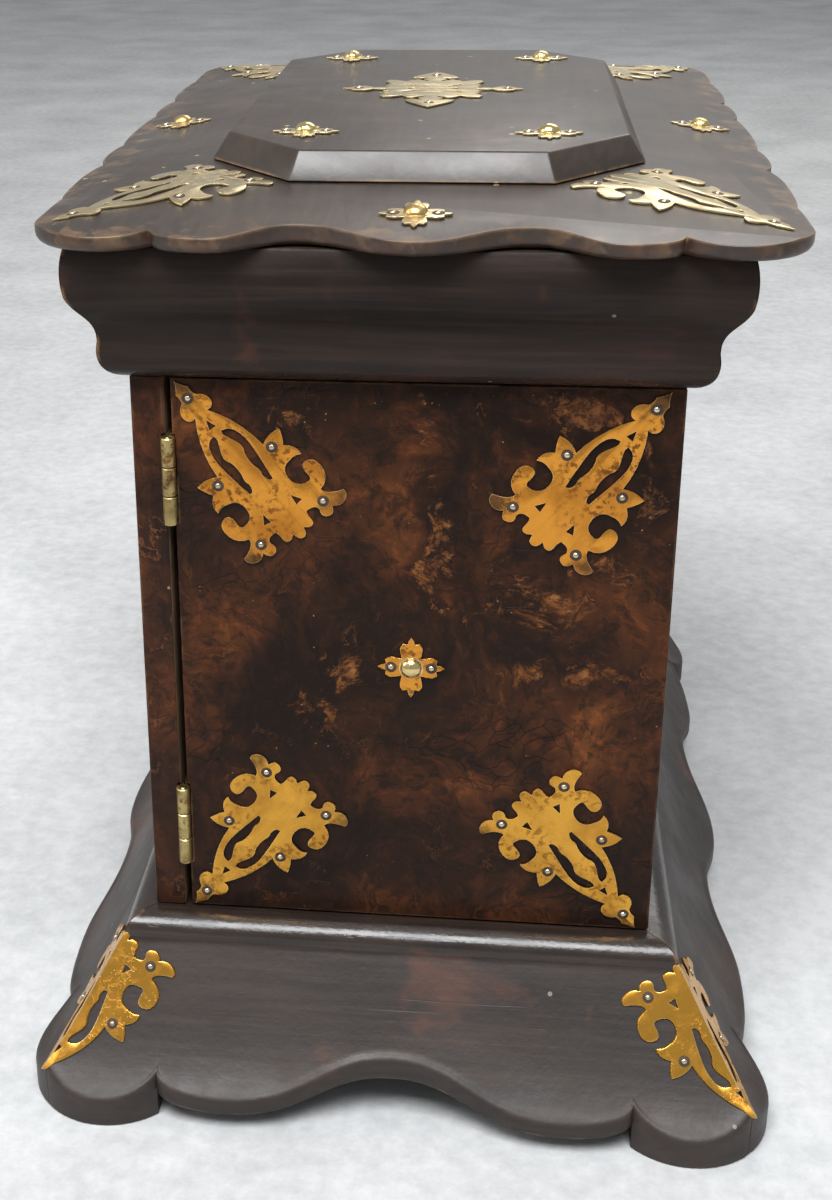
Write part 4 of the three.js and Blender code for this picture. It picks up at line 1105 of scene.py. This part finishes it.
def make_lid(rim_ease, panel_ease):
    board = prism("lid_board_scalloped", lid_outline(), LID_UNDER, RIM_TOP + LID_RISE + PAST)
    drop = RIM_TOP - LID_UNDER + PAST
    spread = LID_SLOPE_WIDTH / LID_RISE * drop
    under = rectangle(LID_HALF_WIDTH + spread, LID_HALF_DEPTH + spread)
    over = rectangle(LID_HALF_WIDTH - LID_SLOPE_WIDTH, LID_HALF_DEPTH - LID_SLOPE_WIDTH)
    carve(board, frustum("rising top", under, RIM_TOP - drop, over, RIM_TOP + LID_RISE), "INTERSECT")
    close_up(board, turn_out=False, reach=0.00003)
    edit_all(board)
    bpy.ops.mesh.select_all(action="DESELECT")
    leave_edit()
    for edge in board.data.edges:
        edge.select = all(board.data.vertices[v].co.z < (LID_UNDER + 0.01) * MM for v in edge.vertices)
        edge.select = edge.select and any_wall_meets(board, edge)
    bpy.ops.object.mode_set(mode="EDIT")
    bpy.ops.mesh.select_mode(type="EDGE")
    bpy.ops.mesh.bevel(offset=rim_ease * RIM_UNDER_SHARE * MM, segments=4, profile=0.5, affect="EDGES")
    leave_edit()
    ease_edges(board, rim_ease * RIM_OVER_SHARE, 3, 42)
    shade(board, 40)
    even_shading(board)
    panel = frustum("lid_panel_raised", octagon(PANEL_BEVEL), PANEL_UNDER, octagon(0), PANEL_TOP)
    ease_edges(panel, panel_ease, 3, 20)
    shade(panel, 20)
    for piece, node in ((board, "lid_board"), (panel, "lid_panel")):
        piece.data.transform(Matrix.Translation((LID_SHIFT * MM, 0, 0)))
        hand_over(piece, finish_of("lid_lacquer"), "lid_lacquer", "cabinet", node)


# Corner mount: half its edge from the tip along +X, as (control x, control y, x, y), its piercings
# and its pins
MOUNT_EDGE = [
    (1.5, 0.4, 3.6, 2.2), (4.8, 1.8, 6.4, 2.4), (8.0, 5.4, 10.6, 4.8), (12.4, 4.0, 11.9, 2.2),
    (20, 7.6, 28.9, 8.2), (27.0, 11.2, 27.9, 14.8), (30.2, 14.2, 32.4, 12.6), (34.4, 15.6, 37.4, 15.0),
    (36.2, 13.2, 36.9, 11.2), (37.2, 7.8, 40.8, 7.7), (44.8, 7.8, 44.7, 11.8), (44.7, 12.9, 42.8, 12.7),
    (39.6, 12.4, 39.6, 14.4), (39.8, 17.2, 43.0, 17.3), (47.6, 17.2, 48.6, 12.9), (51.0, 13.2, 52.4, 17.9),
    (53.6, 18.4, 54.8, 17.0), (56.4, 14.6, 54.3, 12.4), (57.0, 11.6, 56.2, 9.6), (55.4, 7.6, 53.2, 8.8),
    (51.2, 8.8, 51.4, 5.6), (52.2, 5.2, 53.2, 5.2), (56.4, 5.6, 55.6, 3.0), (55.0, 2.4, 54.8, 1.8),
    (57.2, 1.6, 57.2, 0),
]
# On the base the corner tip is cut short to a narrow strap
SKIRT_TIP, SKIRT_TIP_EDGE = (8.6, 0), [(8.9, 1.3, 11.9, 2.0)]
MOUNT_SLOT = [
    (18.9, 1.4), (19.4, 3.4), (21.4, 4.9), (25.2, 5.6), (29.5, 5.3), (34, 4.7), (38.2, 4.1), (38.1, 3.0),
    (36, 2.3), (34.4, 2.9), (31.6, 2.1), (28.2, 2.3), (26.2, 3.4), (24.2, 3.0), (22.4, 2.1), (20.2, 1.1),
]
MOUNT_EYE = [(14.1, 0), (16.9, -1.1), (16.9, 1.1)]
MOUNT_SPANDREL = [(45.1, 5.0), (48.2, 4.6), (47.8, 6.8)]
MOUNT_PINS = [(6.1, 0), (30.9, 9.7), (30.9, -9.7), (51.8, 11.2), (51.8, -11.2)]
MOUNT_DRAWN_LENGTH = 57.4


def across(points):
    return [(x, -y) for x, y in points]


def curved_edge(start, steps_of):
    points = [start]
    for cx, cy, x, y in steps_of:
        x0, y0 = points[-1]
        for i in range(1, 6):
            t = i / 5
            points.append(tuple((1 - t) ** 2 * p + 2 * t * (1 - t) * c + t * t * q
                                for p, c, q in ((x0, cx, x), (y0, cy, y))))
    return points


def softened(ring, keep_turn, rounds):
    """A ring with its corners cut smooth, except those that turn sharply."""
    for _ in range(rounds):
        points, count = [], len(ring)
        for i, (x, y) in enumerate(ring):
            (px, py), (nx, ny) = ring[i - 1], ring[(i + 1) % count]
            into, out = math.atan2(y - py, x - px), math.atan2(ny - y, nx - x)
            turn = abs((out - into + math.pi) % (2 * math.pi) - math.pi)
            if turn > math.radians(keep_turn):
                points.append((x, y))
            else:
                points += [(x + (qx - x) * 0.25, y + (qy - y) * 0.25) for qx, qy in ((px, py), (nx, ny))]
        ring = points
    return ring


def stamped_plate(name, rings, thickness, edge):
    """A pierced plate cut from sheet, drawn at millimetre scale and then reduced."""
    curve = bpy.data.curves.new(name, "CURVE")
    curve.dimensions = "2D"
    curve.fill_mode = "BOTH"
    curve.extrude = thickness / 2 - edge
    curve.bevel_depth = edge
    curve.bevel_resolution = 1
    curve.offset = -edge
    for ring in rings:
        spline = curve.splines.new("POLY")
        spline.points.add(len(ring) - 1)
        for point, (x, y) in zip(spline.points, ring):
            point.co = (x, y, 0, 1)
        spline.use_cyclic_u = True
    select_only(placed(name, curve))
    bpy.ops.object.convert(target="MESH")
    plate = bpy.context.object
    plate.data.transform(Matrix.Translation((0, 0, thickness / 2)))
    plate.data.transform(Matrix.Scale(MM, 4))
    close_up(plate, reach=0.000004)
    return plate


def mark_tarnish(plate, how):
    """Writes how dirty the brass is at each point; how(x, y) is given millimetres."""
    marks = plate.data.attributes.new("tarnish", "FLOAT", "POINT")
    for i, vertex in enumerate(plate.data.vertices):
        marks.data[i].value = how(vertex.co.x / MM, vertex.co.y / MM)


def tip_dirt(strength):
    def how(x, y):
        lobe = min(1.0, max(0.0, (x - 47) / 5)) * min(1.0, max(0.0, (abs(y) - 6) / 9))
        return strength * max(0.0, 1 - x / 11, 0.75 * lobe)
    return how


def corner_mount(name, size, strength, skirt=False):
    if skirt:
        edge = curved_edge(SKIRT_TIP, SKIRT_TIP_EDGE + MOUNT_EDGE[4:])
    else:
        edge = curved_edge((0, 0), MOUNT_EDGE)
    outer = edge + across(edge[1:-1])[::-1]
    slot = softened(MOUNT_SLOT, 80, 1)
    rings = [outer, MOUNT_EYE, slot, across(slot), MOUNT_SPANDREL, across(MOUNT_SPANDREL)]
    plate = stamped_plate(name, rings, PLATE_THICKNESS, PLATE_EDGE)
    mark_tarnish(plate, tip_dirt(strength))
    plate.data.transform(Matrix.Diagonal((size, size, 1, 1)))
    return plate


# Pins: a domed head and the dirt round it, as (radius, height)
PIN_HEAD = [(0, 0.62), (0.34, 0.59), (0.62, 0.47), (0.82, 0.27), (0.9, 0.0)]
PIN_DIRT = [(0.86, 0.12), (1.15, 0.06), (1.7, 0.015), (1.7, -0.05), (0.86, -0.05)]


def pin():
    head = turned("pin head", PIN_HEAD, 14)
    ring = turned("pin dirt", PIN_DIRT, 14, closed=True)
    head.data.materials.append(finish_of("pin_metal"))
    ring.data.materials.append(finish_of("pin_dirt"))
    whole = joined("pin", [head, ring])
    shade(whole, 60)
    return whole


def set_pins(name, places, body):
    """One pin copied to each place, a matrix that stands it on the brass."""
    pattern = pin()
    copies = [copy_to(pattern, "pin copy", place) for place in places]
    discard(pattern)
    pins = joined(name, copies)
    hand_over(pins, None, "mount_brass", body)


def standing(point, normal, size=1.0):
    turn = Vector((0, 0, 1)).rotation_difference(Vector(normal)).to_matrix().to_4x4()
    return Matrix.Translation(Vector(point) * MM) @ turn @ Matrix.Scale(size, 4)


def make_door_mounts():
    low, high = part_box("door")
    left, right = low.x / MM + DOOR_MOUNT_LEFT_INSET, high.x / MM - DOOR_MOUNT_RIGHT_INSET
    foot, head = low.z / MM + DOOR_MOUNT_END_INSET, high.z / MM - DOOR_MOUNT_END_INSET
    angle = DOOR_MOUNT_ANGLE
    places = {
        "upper_left": (left, head, -angle, 1.0), "upper_right": (right, head, 180 + angle, 1.0),
        "lower_left": (left, foot, angle, 0.8), "lower_right": (right, foot, 180 - angle, 0.5),
    }
    size = DOOR_MOUNT_LENGTH / MOUNT_DRAWN_LENGTH
    for where, (x, z, degrees, dirt) in places.items():
        node = "door_mount_" + where
        turn = (Matrix.Translation(Vector((x, -HALF_DEPTH - PLATE_LIFT, z)) * MM)
                @ Matrix.Rotation(math.pi / 2, 4, "X") @ Matrix.Rotation(math.radians(degrees), 4, "Z"))
        plate = corner_mount(node + "_brass", size, dirt)
        plate.data.transform(turn)
        shade(plate, 40)
        tone = "upper_brass" if z > foot else "mount_brass"
        hand_over(plate, finish_of(tone), "mount_brass", "door", node)
        heads = [turn @ Matrix.Translation(Vector((a * size, b * size, PLATE_THICKNESS)) * MM)
                 for a, b in MOUNT_PINS]
        set_pins(node + "_pins", heads, "door")


def make_lid_mounts():
    x0, y0 = LID_HALF_WIDTH - LID_MOUNT_SIDE_INSET, LID_HALF_DEPTH - LID_MOUNT_END_INSET
    angle = LID_MOUNT_ANGLE
    turns = {"front_left": angle, "front_right": 180 - angle,
             "back_right": 180 + angle, "back_left": -angle}
    size = LID_MOUNT_LENGTH / MOUNT_DRAWN_LENGTH
    for where, (way_x, way_y) in CORNERS.items():
        x, y, degrees = way_x * x0, way_y * y0, turns[where]
        node = "lid_mount_" + where
        turn = Matrix.Translation(Vector((x, y, 0)) * MM) @ Matrix.Rotation(math.radians(degrees), 4, "Z")
        plate = corner_mount(node + "_brass", size, 0.35)
        plate.data.transform(turn)
        corner = Vector((way_x * LID_HALF_WIDTH, way_y * LID_HALF_DEPTH, 0)) * MM
        inner = Vector((way_x * (LID_HALF_WIDTH - LID_SLOPE_WIDTH),
                        way_y * (LID_HALF_DEPTH - LID_SLOPE_WIDTH), 0)) * MM
        slice_through(plate, corner, (way_x, -way_y, 0))
        slice_through(plate, inner, (1, 0, 0))
        slice_through(plate, inner, (0, 1, 0))
        for vertex in plate.data.vertices:
            vertex.co.z += (lid_rise(vertex.co.x / MM, vertex.co.y / MM) + PLATE_LIFT) * MM
        plate.data.transform(Matrix.Translation((LID_SHIFT * MM, 0, 0)))
        shade(plate, 25)
        hand_over(plate, finish_of("lid_brass"), "mount_brass", "cabinet", node)
        heads = []
        tip = LID_RISE / LID_SLOPE_WIDTH
        for a, b in MOUNT_PINS:
            spot = turn @ (Vector((a * size, b * size, 0)) * MM) / MM
            inside = (LID_HALF_WIDTH - abs(spot.x), LID_HALF_DEPTH - abs(spot.y))
            lean = (0, 0, 1)
            if min(inside) < LID_SLOPE_WIDTH:
                lean = (way_x * tip, 0, 1) if inside[0] < inside[1] else (0, way_y * tip, 1)
            height = lid_rise(spot.x, spot.y) + PLATE_LIFT + PLATE_THICKNESS
            heads.append(standing((spot.x + LID_SHIFT, spot.y, height), Vector(lean).normalized()))
        set_pins(node + "_pins", heads, "cabinet")


def skirt_fold():
    """A function that lays a drawn point (a, b, lift) of a corner mount over the base's corner."""
    line = flare_line(40)
    start = line[0]
    cut = FOOT_RADIUS * (1 - math.sqrt(0.5))
    end_out = SKIRT_REACH - cut
    end = min(line, key=lambda point: abs(point[0] - end_out))
    length = math.hypot(end[0] - start[0], start[1] - end[1])
    down = ((end[0] - start[0]) / length, (end[1] - start[1]) / length)
    lean = math.atan(down[0])
    runs = [(p[0] - start[0]) * down[0] + (p[1] - start[1]) * down[1] for p in line]

    def lay(a, b, lift):
        s = SKIRT_MOUNT_LENGTH + SKIRT_MOUNT_START - a
        side = abs(b) * SKIRT_MOUNT_SPREAD
        v = s * math.cos(lean) + side * math.sin(lean)
        i = max(k for k in range(len(line) - 1) if k == 0 or runs[k] <= v)
        share = (v - runs[i]) / (runs[i + 1] - runs[i])
        run, fall = line[i + 1][0] - line[i][0], line[i + 1][1] - line[i][1]
        step = math.hypot(run, fall)
        out = line[i][0] + run * share - fall / step * lift
        z = line[i][1] + fall * share + run / step * lift
        inward = side / math.cos(lean)
        normal = Vector((0, fall / step, run / step))
        if b >= 0:
            return Vector((HALF_WIDTH + out - inward, -(HALF_DEPTH + out), z)), normal
        return Vector((HALF_WIDTH + out, -(HALF_DEPTH + out) + inward, z)), Vector((-normal.y, 0, normal.z))
    return lay


def make_skirt_mounts():
    lay = skirt_fold()
    pattern = corner_mount("skirt mount pattern", 1, 0.25, skirt=True)
    slice_through(pattern, (0, 0, 0), (0, 1, 0))
    for step in range(4, 19):
        slice_through(pattern, (step * 3 * MM, 0, 0), (1, 0, 0))
    for step in (-12, -8, -4, 4, 8, 12):
        slice_through(pattern, (0, step * MM, 0), (0, 1, 0))
    for vertex in pattern.data.vertices:
        a, b, lift = vertex.co / MM
        vertex.co = lay(a, b, lift + PLATE_LIFT)[0] * MM
    close_up(pattern, reach=0.000004)
    spots = [lay(a, b, PLATE_THICKNESS + PLATE_LIFT) for a, b in MOUNT_PINS[1:]]
    heads = [standing(point, normal.normalized()) for point, normal in spots]
    for where in ("front_right", "front_left", "back_right", "back_left"):
        node = "base_mount_" + where
        way_x, way_y = CORNERS[where]
        flip = Matrix.Diagonal((way_x, -way_y, 1, 1))
        plate = copy_to(pattern, node + "_brass", flip)
        shade(plate, 30)
        hand_over(plate, finish_of("mount_brass"), "mount_brass", "cabinet", node)
        set_pins(node + "_pins", [flip @ head for head in heads], "cabinet")
    discard(pattern)


# Boss: one leaf along +X from its tip to the notch beside it, and the stud's (radius, height)
BOSS_LEAF = [(9.6, 0), (8.6, 0.75), (7.2, 1.0), (7.5, 2.4), (6.2, 3.3), (4.6, 3.1)]
BOSS_NOTCH = (2.7, 2.7)
STUD = [(0, 2.4), (0.8, 2.33), (1.6, 2.1), (2.3, 1.7), (2.85, 1.08), (3.1, 0.5), (3.1, 0.3),
        (3.4, 0.14), (3.4, -0.1)]


def boss_pattern():
    leaf = across(BOSS_LEAF[1:])[::-1] + BOSS_LEAF + [BOSS_NOTCH]
    ring = []
    for quarter in range(4):
        c, s = round(math.cos(quarter * math.pi / 2)), round(math.sin(quarter * math.pi / 2))
        ring += [(x * c - y * s, x * s + y * c) for x, y in leaf]
    plate = stamped_plate("boss plate", [softened(ring, 62, 2)], PLATE_THICKNESS, PLATE_EDGE)
    mark_tarnish(plate, lambda x, y: max(0.0, 1 - math.hypot(x, y) / 5.5) * 0.7)
    plate.data.materials.append(finish_of("lid_brass"))
    stud = turned("stud", [(r, z + PLATE_THICKNESS) for r, z in STUD], 28)
    mark_tarnish(stud, lambda x, y: 0.0)
    stud.data.materials.append(finish_of("stud_brass"))
    whole = joined("boss pattern", [plate, stud])
    shade(whole, 45)
    return whole


def make_bosses():
    slope = math.atan(LID_RISE / LID_SLOPE_WIDTH)
    door_low, door_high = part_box("door")
    middle = (door_low.z + door_high.z) / 2
    places = {"door_boss": Matrix.Translation((DOOR_BOSS_X * MM, -(HALF_DEPTH + PLATE_LIFT) * MM, middle))
              @ Matrix.Rotation(math.pi / 2, 4, "X")}
    for name, (x, y) in CORNERS.items():
        place = Vector((x * PANEL_BOSS_X + LID_SHIFT, y * PANEL_BOSS_Y, PANEL_TOP + PLATE_LIFT)) * MM
        places["panel_boss_" + name] = Matrix.Translation(place)
    end, side = LID_HALF_DEPTH - LID_BOSS_END_INSET, LID_HALF_WIDTH - LID_BOSS_SIDE_INSET
    for name, (x, y, axis, way) in {"front": (0, -end, "X", 1), "back": (0, end, "X", -1),
                                    "left": (-side, 0, "Y", -1), "right": (side, 0, "Y", 1)}.items():
        place = Vector((x + LID_SHIFT, y, lid_rise(x, y) + PLATE_LIFT)) * MM
        places["lid_boss_" + name] = Matrix.Translation(place) @ Matrix.Rotation(way * slope, 4, axis)
    pattern = boss_pattern()
    for node, place in places.items():
        body = "door" if node == "door_boss" else "cabinet"
        boss = copy_to(pattern, node + "_brass", place)
        if body == "door":
            boss.data.materials[0] = finish_of("upper_brass")
        hand_over(boss, None, "mount_brass", body, node)
        heads = [place @ Matrix.Translation((x * MM, 0, PLATE_THICKNESS * MM))
                 for x in (-BOSS_PIN_REACH, BOSS_PIN_REACH)]
        set_pins(node + "_pins", heads, body)
    discard(pattern)


# Cartouche: a quarter of its edge, from its side to its end, and its piercings
CARTOUCHE_EDGE = [
    (29.5, 0), (26.6, 0.9), (26.4, 2.7), (23.6, 4.2), (21.2, 3.5), (19.4, 1.1),
    (17.0, 2.1), (14.8, 1.2), (14.6, 3.4), (15.9, 4.8), (14.2, 6.4), (15.6, 8.6),
    (13.9, 10.2), (16.5, 14.8), (15.4, 17.4), (12.4, 17.2), (9.4, 14.4),
    (7.8, 17.8), (5.6, 19.0), (2.3, 15.2), (2.1, 17.4), (3.9, 19.8),
    (2.3, 24.2), (5.0, 22.4), (7.8, 23.4), (6.6, 27.2), (2.6, 33.2), (0, 37.0),
]
CARTOUCHE_EYE = [(5.4, 0), (7.6, 1.7), (8.6, 0), (7.6, -1.7)]
CARTOUCHE_SLOT = [(3.9, 3.7), (9.3, 8.9), (10.1, 7.6), (4.9, 2.9)]
CARTOUCHE_BAR = [(-3.2, 7.5), (0, 6.7), (3.2, 7.5), (0, 8.5)]
CARTOUCHE_PINS = [(0, 29.2), (0, -29.2), (24.3, 0), (-24.3, 0)]


def make_cartouche():
    right = across(CARTOUCHE_EDGE[1:])[::-1] + CARTOUCHE_EDGE
    left = [(-x, y) for x, y in right[1:-1]][::-1]
    holes = [CARTOUCHE_EYE, CARTOUCHE_SLOT, across(CARTOUCHE_SLOT)]
    holes += [[(-x, y) for x, y in hole] for hole in holes]
    holes += [CARTOUCHE_BAR, across(CARTOUCHE_BAR)]
    rings = [softened(right + left, 48, 1)] + [softened(hole, 100, 1) for hole in holes]
    plate = stamped_plate("lid_cartouche_brass", rings, PLATE_THICKNESS, PLATE_EDGE)
    mark_tarnish(plate, lambda x, y: 0.3 if abs(y) > 30 else 0.0)
    x, y = CARTOUCHE_MIDDLE
    place = Matrix.Translation(Vector((LID_SHIFT + x, y, PANEL_TOP + PLATE_LIFT)) * MM)
    plate.data.transform(place)
    shade(plate, 40)
    hand_over(plate, finish_of("lid_brass"), "mount_brass", "cabinet", "lid_cartouche")
    heads = [place @ Matrix.Translation(Vector((a, b, PLATE_THICKNESS)) * MM) for a, b in CARTOUCHE_PINS]
    set_pins("lid_cartouche_pins", heads, "cabinet")


def knuckle(low, high):
    ease = 0.25
    profile = [(KNUCKLE_BORE, low), (KNUCKLE_RADIUS - ease, low), (KNUCKLE_RADIUS, low + ease),
               (KNUCKLE_RADIUS, high - ease), (KNUCKLE_RADIUS - ease, high), (KNUCKLE_BORE, high)]
    piece = turned("knuckle", profile, 28, closed=True)
    piece.data.transform(Matrix.Translation((HINGE_AXIS[0] * MM, HINGE_AXIS[1] * MM, 0)))
    return piece


def slip(name, x, y, low, high):
    """An upright slip of sheet over the given spans of x and y."""
    (x0, x1), (y0, y1) = x, y
    return prism(name, [(x0, y0), (x1, y0), (x1, y1), (x0, y1)], low, high)


def make_hinges():
    for label, (low, high) in hinge_spans().items():
        third, gap = (high - low) / 3, KNUCKLE_GAP / 2
        ends = [(low, low + third - gap), (high - third + gap, high)]
        middle = [(low + third + gap, high - third - gap)]
        for kind, spans in (("side_leaf", ends), ("door_leaf", middle)):
            node = f"hinge_{label}_{kind}"
            way = -1 if kind == "side_leaf" else 1
            sheet = sorted((HINGE_AXIS[0] + way * LEAF_NEAR, HINGE_AXIS[0] + way * LEAF_FAR))
            front, back = HINGE_AXIS[1] + KNUCKLE_BORE + 0.25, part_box(node)[1].y / MM
            parts = [knuckle(a, b) for a, b in spans]
            parts.append(slip("leaf", sheet, (front + LEAF_FRONT, back), low, high))
            parts += [slip("tab", sheet, (front, front + TAB_DEPTH), a, b) for a, b in spans]
            hinge = joined(node + "_brass", parts)
            mark_tarnish(hinge, lambda x, y: 0.35)
            shade(hinge, 40)
            body = "cabinet" if kind == "side_leaf" else "door"
            hand_over(hinge, finish_of("hinge_brass"), "hinge_brass", body, node)
        node = f"hinge_{label}_pin"
        r, ease = HINGE_PIN_RADIUS, 0.2
        rod = turned(node + "_brass", [(0, low), (r - ease, low), (r, low + ease), (r, high - ease),
                                       (r - ease, high), (0, high)], 24)
        rod.data.transform(Matrix.Translation((HINGE_AXIS[0] * MM, HINGE_AXIS[1] * MM, 0)))
        shade(rod, 40)
        hand_over(rod, finish_of("hinge_brass"), "hinge_brass", "cabinet", node)


# Stage

def aim(thing, place, target):
    thing.location = place
    thing.rotation_mode = "QUATERNION"
    thing.rotation_quaternion = (Vector(target) - Vector(place)).to_track_quat("-Z", "Y")


# Lamps: name, place, width and height in metres, share of the set power, and tint
LAMPS = [
    ("soft window above the front", (-0.1, -0.78, 1.45), 1.1, 0.7, 1.0, (0.97, 0.985, 1.0)),
    ("soft fill from the left", (-1.5, -0.4, 0.9), 1.0, 1.0, 0.22, (1.0, 0.97, 0.93)),
    ("soft light behind", (0.5, 1.5, 1.5), 1.4, 0.8, 0.3, (1.0, 0.98, 0.95)),
]


def soft_light(name, place, target, width, height, power, tint):
    lamp = bpy.data.lights.new(name, "AREA")
    lamp.shape = "RECTANGLE"
    lamp.size, lamp.size_y = width, height
    lamp.energy = power
    lamp.color = tint
    aim(placed(name, lamp), place, target)


def make_camera():
    data = bpy.data.cameras.new("photograph view")
    data.sensor_width = 36
    data.lens = CAMERA_LENS
    data.shift_x, data.shift_y = CAMERA_SHIFT
    data.clip_start, data.clip_end = 0.01, 50
    camera = placed("photograph view", data)
    cy, sy = math.cos(CAMERA_TURN), math.sin(CAMERA_TURN)
    cd, sd = math.cos(CAMERA_DIP), math.sin(CAMERA_DIP)
    ahead = Vector((sy * cd, cy * cd, -sd))
    right = Vector((cy, -sy, 0))
    up = right.cross(ahead)
    cr, sr = math.cos(CAMERA_ROLL), math.sin(CAMERA_ROLL)
    right, up = right * cr + up * sr, up * cr - right * sr
    turn = Matrix((right, up, -ahead)).transposed().to_4x4()
    camera.matrix_world = Matrix.Translation(Vector(CAMERA_PLACE) * MM) @ turn
    bpy.context.scene.camera = camera


def make_stage(light, ambient):
    leave_edit()
    bpy.ops.object.select_all(action="DESELECT")
    bpy.ops.mesh.primitive_plane_add(size=24, location=(0, 0, 0))
    floor = bpy.context.object
    settle(floor)
    floor.name = "pale_floor"
    floor.data.materials.append(finish_of("pale_floor"))
    world = bpy.data.worlds.new("soft room")
    bpy.context.scene.world = world
    world.use_nodes = True
    room = world.node_tree.nodes["Background"]
    room.inputs[0].default_value = (0.93, 0.95, 0.96, 1)
    room.inputs[1].default_value = ambient
    for name, place, width, height, share, tint in LAMPS:
        soft_light(name, place, (0, 0, 0.15), width, height, light * share, tint)
    bpy.context.scene.view_settings.view_transform = "Standard"
    make_camera()


# Add-on

class VanityBoxSizes(bpy.types.PropertyGroup):
    board_ease: bpy.props.FloatProperty(
        name="Board edges", description="How far the edges of the plain boards are eased, in millimetres",
        default=0.5, min=0.1, max=2)
    base_ease: bpy.props.FloatProperty(
        name="Base edges", description="Radius of the rounded rim of the base, in millimetres",
        default=2.2, min=0.4, max=4)
    cornice_ease: bpy.props.FloatProperty(
        name="Cornice edges", description="How far the edges of the cornice are rounded, in millimetres",
        default=0.7, min=0.1, max=2)
    rim_ease: bpy.props.FloatProperty(
        name="Lid rim", description="Radius of the rounded rim of the lid board, in millimetres",
        default=1.5, min=0.1, max=2)
    panel_ease: bpy.props.FloatProperty(
        name="Panel edges", description="How far the arrises of the raised panel are eased, in millimetres",
        default=0.6, min=0.1, max=2)


class VanityBoxFinish(bpy.types.PropertyGroup):
    brass: bpy.props.FloatVectorProperty(
        name="Mount brass", description="Colour of the clean brass of the mounts",
        default=(0.68, 0.345, 0.052), subtype="COLOR", min=0, max=1)
    hinge: bpy.props.FloatVectorProperty(
        name="Hinge brass", description="Colour of the clean brass of the hinges",
        default=(0.46, 0.36, 0.15), subtype="COLOR", min=0, max=1)
    light: bpy.props.FloatProperty(
        name="Light", description="Power of the soft light above the front",
        default=42, min=0, unit="POWER")
    ambient: bpy.props.FloatProperty(
        name="Room", description="Brightness of the pale room", default=0.48, min=0, max=5)


class VANITY_OT_stage(bpy.types.Operator):
    """Makes the pale floor, the soft lights and the camera"""
    bl_idname = "vanity.stage"
    bl_label = "Stage"

    def execute(self, context):
        look = context.scene.vanity_box_finish
        make_stage(look.light, look.ambient)
        return {"FINISHED"}


class VANITY_OT_carcase(bpy.types.Operator):
    """Makes the door, side, back and floor boards"""
    bl_idname = "vanity.carcase"
    bl_label = "Carcase and door"

    def execute(self, context):
        make_carcase(context.scene.vanity_box_sizes.board_ease)
        return {"FINISHED"}


class VANITY_OT_base(bpy.types.Operator):
    """Makes the four flared lengths of the base"""
    bl_idname = "vanity.base"
    bl_label = "Base"

    def execute(self, context):
        make_base(context.scene.vanity_box_sizes.base_ease)
        return {"FINISHED"}


class VANITY_OT_cornice(bpy.types.Operator):
    """Makes the four lengths of the cornice"""
    bl_idname = "vanity.cornice"
    bl_label = "Cornice"

    def execute(self, context):
        make_cornice(context.scene.vanity_box_sizes.cornice_ease)
        return {"FINISHED"}


class VANITY_OT_lid(bpy.types.Operator):
    """Makes the scalloped lid board and its raised panel"""
    bl_idname = "vanity.lid"
    bl_label = "Lid"

    def execute(self, context):
        sizes = context.scene.vanity_box_sizes
        make_lid(sizes.rim_ease, sizes.panel_ease)
        return {"FINISHED"}


class VANITY_OT_mounts(bpy.types.Operator):
    """Makes the pierced corner mounts of the door, the lid and the base"""
    bl_idname = "vanity.mounts"
    bl_label = "Corner mounts"

    def execute(self, context):
        make_door_mounts()
        make_lid_mounts()
        make_skirt_mounts()
        return {"FINISHED"}


class VANITY_OT_bosses(bpy.types.Operator):
    """Makes the bosses with their studs"""
    bl_idname = "vanity.bosses"
    bl_label = "Bosses"

    def execute(self, context):
        make_bosses()
        return {"FINISHED"}


class VANITY_OT_cartouche(bpy.types.Operator):
    """Makes the pierced cartouche on the lid"""
    bl_idname = "vanity.cartouche"
    bl_label = "Cartouche"

    def execute(self, context):
        make_cartouche()
        return {"FINISHED"}


class VANITY_OT_hinges(bpy.types.Operator):
    """Makes the two small butt hinges"""
    bl_idname = "vanity.hinges"
    bl_label = "Hinges"

    def execute(self, context):
        make_hinges()
        return {"FINISHED"}


OPERATORS = (VANITY_OT_stage, VANITY_OT_carcase, VANITY_OT_base, VANITY_OT_cornice, VANITY_OT_lid,
             VANITY_OT_mounts, VANITY_OT_bosses, VANITY_OT_cartouche, VANITY_OT_hinges)


class VANITY_PT_panel(bpy.types.Panel):
    """Lists the pieces of the vanity box"""
    bl_idname = "VANITY_PT_panel"
    bl_label = "Vanity box"
    bl_space_type = "VIEW_3D"
    bl_region_type = "UI"
    bl_category = "Vanity box"

    def draw(self, context):
        for settings in (context.scene.vanity_box_sizes, context.scene.vanity_box_finish):
            for name in settings.__annotations__:
                self.layout.prop(settings, name)
        for operator in OPERATORS:
            self.layout.operator(operator.bl_idname)


CLASSES = (VanityBoxSizes, VanityBoxFinish) + OPERATORS + (VANITY_PT_panel,)


def register():
    for kind in CLASSES:
        bpy.utils.register_class(kind)
    bpy.types.Scene.vanity_box_sizes = bpy.props.PointerProperty(type=VanityBoxSizes)
    bpy.types.Scene.vanity_box_finish = bpy.props.PointerProperty(type=VanityBoxFinish)


def unregister():
    del bpy.types.Scene.vanity_box_finish
    del bpy.types.Scene.vanity_box_sizes
    for kind in reversed(CLASSES):
        bpy.utils.unregister_class(kind)


def main():
    register()
    for make in (bpy.ops.vanity.stage, bpy.ops.vanity.carcase, bpy.ops.vanity.base,
                 bpy.ops.vanity.cornice, bpy.ops.vanity.lid, bpy.ops.vanity.mounts,
                 bpy.ops.vanity.bosses, bpy.ops.vanity.cartouche, bpy.ops.vanity.hinges):
        make()


if __name__ == "__main__":
    main()
